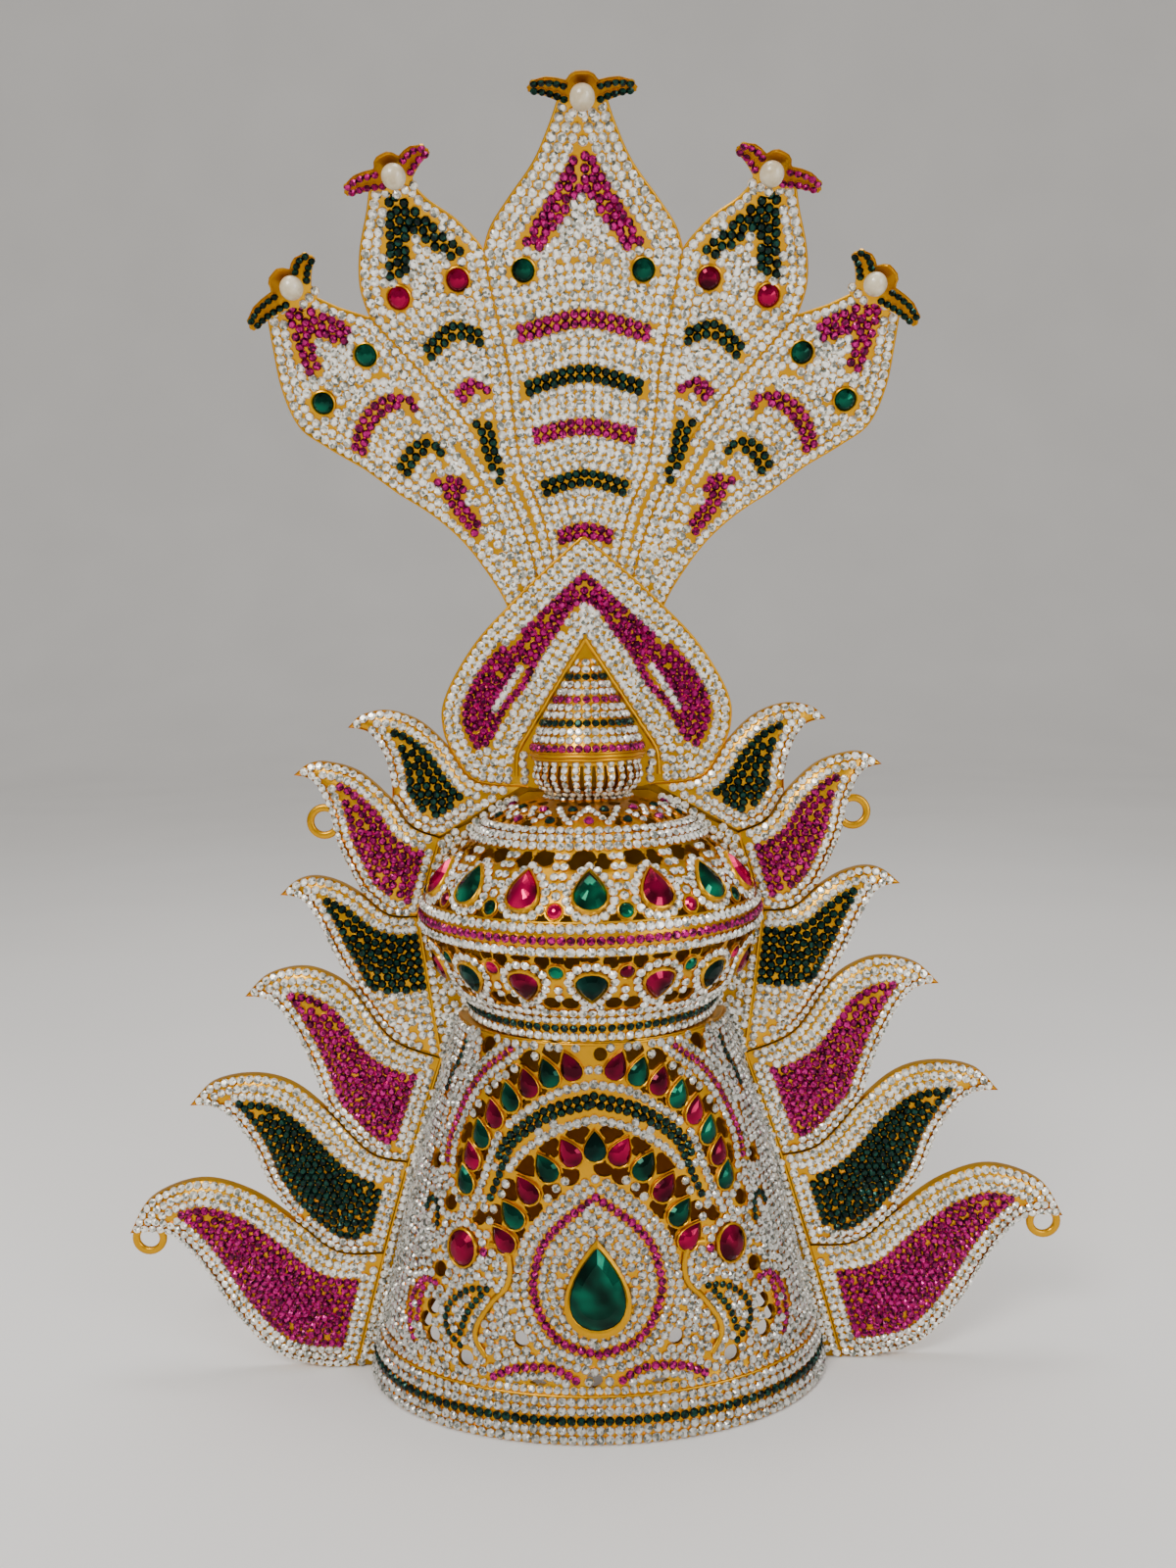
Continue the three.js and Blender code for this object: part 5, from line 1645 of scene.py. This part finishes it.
def drum_stones():
    """Sets the drum's stones and returns the gaps left between them."""
    setting = Setting("drum", drum_point)
    drum_gems(setting)
    drum_lines(setting)
    gaps = open_gaps(setting, drum_gaps())
    for arch in (outer_arch(), inner_arch()):
        line = resample(curve([(angle, z) for angle, z, _, _ in arch], 4), 1.0)
        setting.block(drum_point(*line.T), ARCH_BARE)
    edge = np.array([(88.4, z) for z in np.linspace(18.2, DRUM_HEIGHT - 2, 30)])
    for k in range(8):
        setting.row("white", edge, closeness=LAID, side=0.01 + k * (PITCH - 0.1))
    setting.fill("white", wall_spots(drum_point, np.arange(18.0, DRUM_HEIGHT - 1.4, FINE)))
    setting.reflect()
    # The drum's white stones take the darkened crystal copy, painted shade.
    setting.make("shaded_white")
    return gaps


# ---------------------------------------------------------------- dome

ZIGZAG = (203.6, 199.8)
RAISED = (200.4, 203.2)   # heights of the large stones along the zigzag
RIB_ROWS = (182.6, 185.3, 187.9, 190.5)
RIB_STONES = (180.0, 150.8, 148)
RIB_STONE = 2.9
STUD = (4.8, 4.8)
UPPER_DROP = (10.2, 13.8)
LOWER_DROP = (10.0, 11.2)
# Rows, height and size of the drops, how they are turned, and their two colors in turn.
DROPS = [
    ("upper", UPPER_DROP_Z, UPPER_DROP, 0.0, ("emerald", "ruby")),
    ("lower", LOWER_DROP_Z, LOWER_DROP, math.pi, ("dark_emerald", "deep_ruby")),
]
DOME_ROWS = [
    ("white", 132.7, 3.0), ("white", 170.9, 3.3), ("pink", 167.4, 3.0), ("white", 163.9, 3.3),
    ("white", 142, 3.1), ("white", 138.9, 3.1), ("green", 135.7, 2.9), ("white", 193.4, 3.1),
    ("white", 195.7, 3.1), ("white", 197.8, 3.1), ("white", 205.6, 2.6),
]
# Gaps of the dome: angle from a drop or from between two drops, height and reach.
GAPS_AT_DROPS = [(0, 191.4, 4), (11.25, 162, 2.5), (0, 162.2, 4), (11.25, 172.6, 2), (0, 204.6, 2.5),
                 (11.25, 199.6, 2.5)]
GAPS_BETWEEN = [(5.4, 190.4, 4), (4.5, 173, 3), (3, 178.8, 3), (4.4, 161.8, 3), (3.6, 145.4, 3),
                (3.6, 201.5, 3)]


def dome_gaps():
    seeds = []
    for k in range(4):
        seeds += [(DROP_PITCH * k + shift, dome_s(z), reach) for shift, z, reach in GAPS_AT_DROPS]
        seeds += [(DROP_PITCH * (k + 0.5) + side * shift, dome_s(z), reach)
                  for side in (-1, 1) for shift, z, reach in GAPS_BETWEEN]
    return [seed for seed in seeds if seed[0] < 84]


def make_dome(gaps):
    levels = np.linspace(0, DOME_LENGTHS[-1], 30)
    wall = pierced_wall(dome_point, np.linspace(-90, 90, 73), levels, gaps, math.radians(DOME_TURN), PIERCED)
    rim = dome_point(np.linspace(-90, 90, 37), DOME_LENGTHS[-1])
    wall.grid([rim, np.tile([0.0, 0.0, rim[0, 2] - 0.3], (len(rim), 1))])
    wires = [hoop(dome_point, dome_s(z)) for z in (162.6, 172.6)]
    piece("smooth_dome", joined(wall, *wires), GOLD, "gold", replaces=["dome"])


def dome_gems(setting):
    """Two rows of drops, and small round stones between them."""
    gems = Gems(setting)
    for row, z, size, roll, colors in DROPS:
        for k in range(-3, 4):
            gems.set(colors[k % 2], DROP_PITCH * k, dome_s(z), pear_outline(18), size, 2.6, 0.4, roll,
                     f"dome_{row}_drop_{k + 4}")
    for k in range(-4, 4):
        for z, first in ((175.9, 0), (157, 1)):
            color = "ruby" if (k + first) % 2 else "emerald"
            gems.set(color, DROP_PITCH * (k + 0.5), dome_s(z), round_outline(12), STUD, 1.4, 0.1,
                     collar=0.5)
    gems.make("dome")


def dome_lines(setting):
    """Rings round the drops, level rows, the zigzag at the top and the ribs between the drops."""
    for _, z, size, roll, _ in DROPS:
        for k in range(4):
            ring = ring_on(dome_point, DROP_PITCH * k, dome_s(z), pear_outline(18), size, 2.2, roll)
            setting.row("white", closed_path(ring), 3.0, 3.1, 0.74)
    for color, z, size in DOME_ROWS:
        setting.row(color, level_line(dome_s(z), 88.4), BODY_PITCH, size)
    for k in range(8):
        color = "pink" if k % 4 in (0, 3) else "green"
        setting.put(color, (DROP_PITCH / 2 * k, dome_s(RAISED[k % 2])), 3.6)
    zigzag = [(DROP_PITCH / 2 * k, dome_s(ZIGZAG[k % 2])) for k in range(9)]
    setting.row("white", zigzag, 2.7, SLIM_STONE)
    for k in range(4):
        middle = DROP_PITCH * (k + 0.5)
        for z in RIB_ROWS:
            for turn in (-1.55, 1.55):
                setting.put("white", (middle + turn, dome_s(z)), RIB_STONE, 0.8)
        for z in RIB_STONES:
            setting.put("white", (middle, dome_s(z)), RIB_STONE)


def dome_stones():
    """Sets the dome's stones and returns the gaps left between them."""
    setting = Setting("dome", dome_point)
    dome_gems(setting)
    dome_lines(setting)
    gaps = open_gaps(setting, dome_gaps())
    setting.fill("white", wall_spots(dome_point, np.arange(dome_s(141), dome_s(148), FINE)))
    setting.reflect()
    setting.make()
    return gaps


# ---------------------------------------------------------------- finial

CONE_ROWS = ["pink", "white", "white", "green", "white", "white"] * 2
CUP_RIBS = 13
CUP_SLOT_FOOT = 3.4
CUP_SLOT_SHORTER = 7.4    # than the cup's profile
CONE_PITCH = 3.0
CONE_STONE = 2.85


def rib_slot(angle):
    """Corners of the narrow gap between two ribs of the cup."""
    high = CUP_LENGTH - CUP_SLOT_SHORTER
    corners = np.array([(-0.75, 0), (0.75, 0), (0.45, high), (-0.45, high)])
    scale = spot_scale(cup_point, angle, CUP_SLOT_FOOT)
    return (angle, CUP_SLOT_FOOT) + even_loop(corners, 0.9) / scale


def make_cup():
    angles = -90 + 180 * (np.arange(CUP_RIBS + 1) + 0.5) / (CUP_RIBS + 1)
    slots = [rib_slot(angle) for angle in angles if abs(angle) < 86]
    levels = np.linspace(0, CUP_LENGTH, 14)
    wall = pierced_wall(cup_point, np.linspace(-90, 90, 37), levels, slots, math.radians(CUP_TURN), SHEET)
    hoops = [hoop(cup_point, CUP_LENGTH - below, 88, 0.8, 0.2) for below in (1.6, 0.3)]
    piece("smooth_finial_cup", joined(wall, *hoops), GOLD, "gold", replaces=["finial_cup"])


def make_cone():
    angles, levels = np.linspace(-90, 90, 33), np.linspace(0, CONE_LENGTH, 26)[:, None]
    outer, inner = cone_point(angles, levels), cone_point(angles, levels, -SHEET)
    shell = Build().grid(outer).grid(inner, flip=True)
    shell.grid([inner[0], outer[0]]).grid([outer[-1], inner[-1]])
    shell.grid([outer[:, 0], inner[:, 0]]).grid([inner[:, -1], outer[:, -1]])
    ledge = hoop(cone_point, 0.4, 88, 0.5, 0.0)
    piece("smooth_finial_cone", joined(shell, ledge), GOLD, "gold", replaces=["finial_cone"])


def finial_stones():
    cone = Setting("finial_cone", cone_point)
    for k, color in enumerate(CONE_ROWS):
        cone.row(color, level_line(1.9 + CONE_PITCH * k, 86, 20), CONE_STONE, CONE_STONE)
    cup = Setting("finial_cup", cup_point)
    cup.row("white", [(0, 1.6), (45, 1.6), (86, 1.6)], 2.7, 2.6)
    for k in range(CUP_RIBS // 2, CUP_RIBS):
        angle = 180 * (k - (CUP_RIBS - 1) / 2) / (CUP_RIBS + 1)
        cup.row("white", [(angle, s) for s in (4.2, 8.0, CUP_LENGTH - 3.4)], 2.5, 2.5)
    for setting in (cone, cup):
        setting.reflect()
        setting.make()


# ---------------------------------------------------------------- back plate

def dress_back_plate():
    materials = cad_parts["back_plate"].data.materials
    materials.clear()
    # The back plate takes the darkened gold copy, painted shade.
    materials.append(SHADED_GOLD)


# ---------------------------------------------------------------- stage, light, camera

CAMERA_PITCH = math.radians(5.34)
CAMERA_ROLL = math.radians(1.1)
CAMERA_AWAY = -417.5
CAMERA_HEIGHT = 248.7
CAMERA_LENS = 27.675
SWEEP_HALF = 7.0          # metres
SWEEP_START = 2.4
SWEEP_RADIUS = 1.6
LIGHT_AIM = Vector((0, 0, 0.2))
# Name, place, size, power and color of each light.
LIGHTS = [
    ("key", (-0.5, -0.9, 1.0), (0.45, 0.45), 11, (1.0, 0.98, 0.95)),
    ("fill", (0.8, -0.8, 0.5), (0.4, 0.8), 5, (0.97, 0.98, 1.0)),
    ("top", (0, 0.1, 1.2), (0.8, 0.4), 6, (1.0, 1.0, 1.0)),
]


def placed(name, data):
    made = bpy.data.objects.new(name, data)
    bpy.context.scene.collection.objects.link(made)
    return made


def make_stage():
    """A floor that curves up far behind the crown."""
    turn = np.linspace(0, np.pi / 2, 17)
    y = [-SWEEP_HALF, *(SWEEP_START + SWEEP_RADIUS * np.sin(turn)), SWEEP_START + SWEEP_RADIUS]
    z = [0, *(SWEEP_RADIUS * (1 - np.cos(turn))), SWEEP_HALF]
    build = Build().grid([[(x, a, b) for x in (-SWEEP_HALF, SWEEP_HALF)] for a, b in zip(y, z)])
    mesh = bpy.data.meshes.new("studio_floor")
    mesh.from_pydata(build.points[0].tolist(), [], build.faces)
    mesh.polygons.foreach_set("use_smooth", [True] * len(mesh.polygons))
    mesh.materials.append(studio_floor())
    floor = placed("studio_floor", mesh)


def soft_light(name, place, size, power, color):
    data = bpy.data.lights.new(name, "AREA")
    data.shape = "RECTANGLE"
    data.size, data.size_y = size
    data.energy = power
    data.color = color
    light = placed(name, data)
    light.location = place
    light.rotation_euler = (LIGHT_AIM - Vector(place)).to_track_quat("-Z", "Y").to_euler()


def make_light():
    world = bpy.data.worlds.new("studio")
    world.use_nodes = True
    background = world.node_tree.nodes["Background"].inputs
    background["Color"].default_value = (0.80, 0.79, 0.77, 1)
    background["Strength"].default_value = 0.7
    bpy.context.scene.world = world
    for light in LIGHTS:
        soft_light(*light)


def make_camera():
    data = bpy.data.cameras.new("camera")
    data.sensor_width = 36
    data.lens = CAMERA_LENS
    data.clip_start = 0.01
    camera = placed("camera", data)
    camera.location = (0, (CAMERA_AWAY + Y_SHIFT) * MM, CAMERA_HEIGHT * MM)
    camera.rotation_mode = "QUATERNION"
    look = Vector((0, math.cos(CAMERA_PITCH), -math.sin(CAMERA_PITCH)))
    tipped = Vector((math.cos(CAMERA_ROLL), -math.sin(CAMERA_ROLL), 0))
    roll = Vector((1, 0, 0)).rotation_difference(tipped)
    camera.rotation_quaternion = look.to_track_quat("-Z", "Y") @ roll
    bpy.context.scene.camera = camera


# ---------------------------------------------------------------- assembly

make_flames()
make_wing_stones()
strip_wires()
strip_stones()
make_shield()
shield_stones()
make_hood()
hood_stones()
make_eyes()
make_crests()
make_drum(drum_stones())
make_dome(dome_stones())
make_cup()
make_cone()
finial_stones()
dress_back_plate()
make_stage()
make_light()
make_camera()
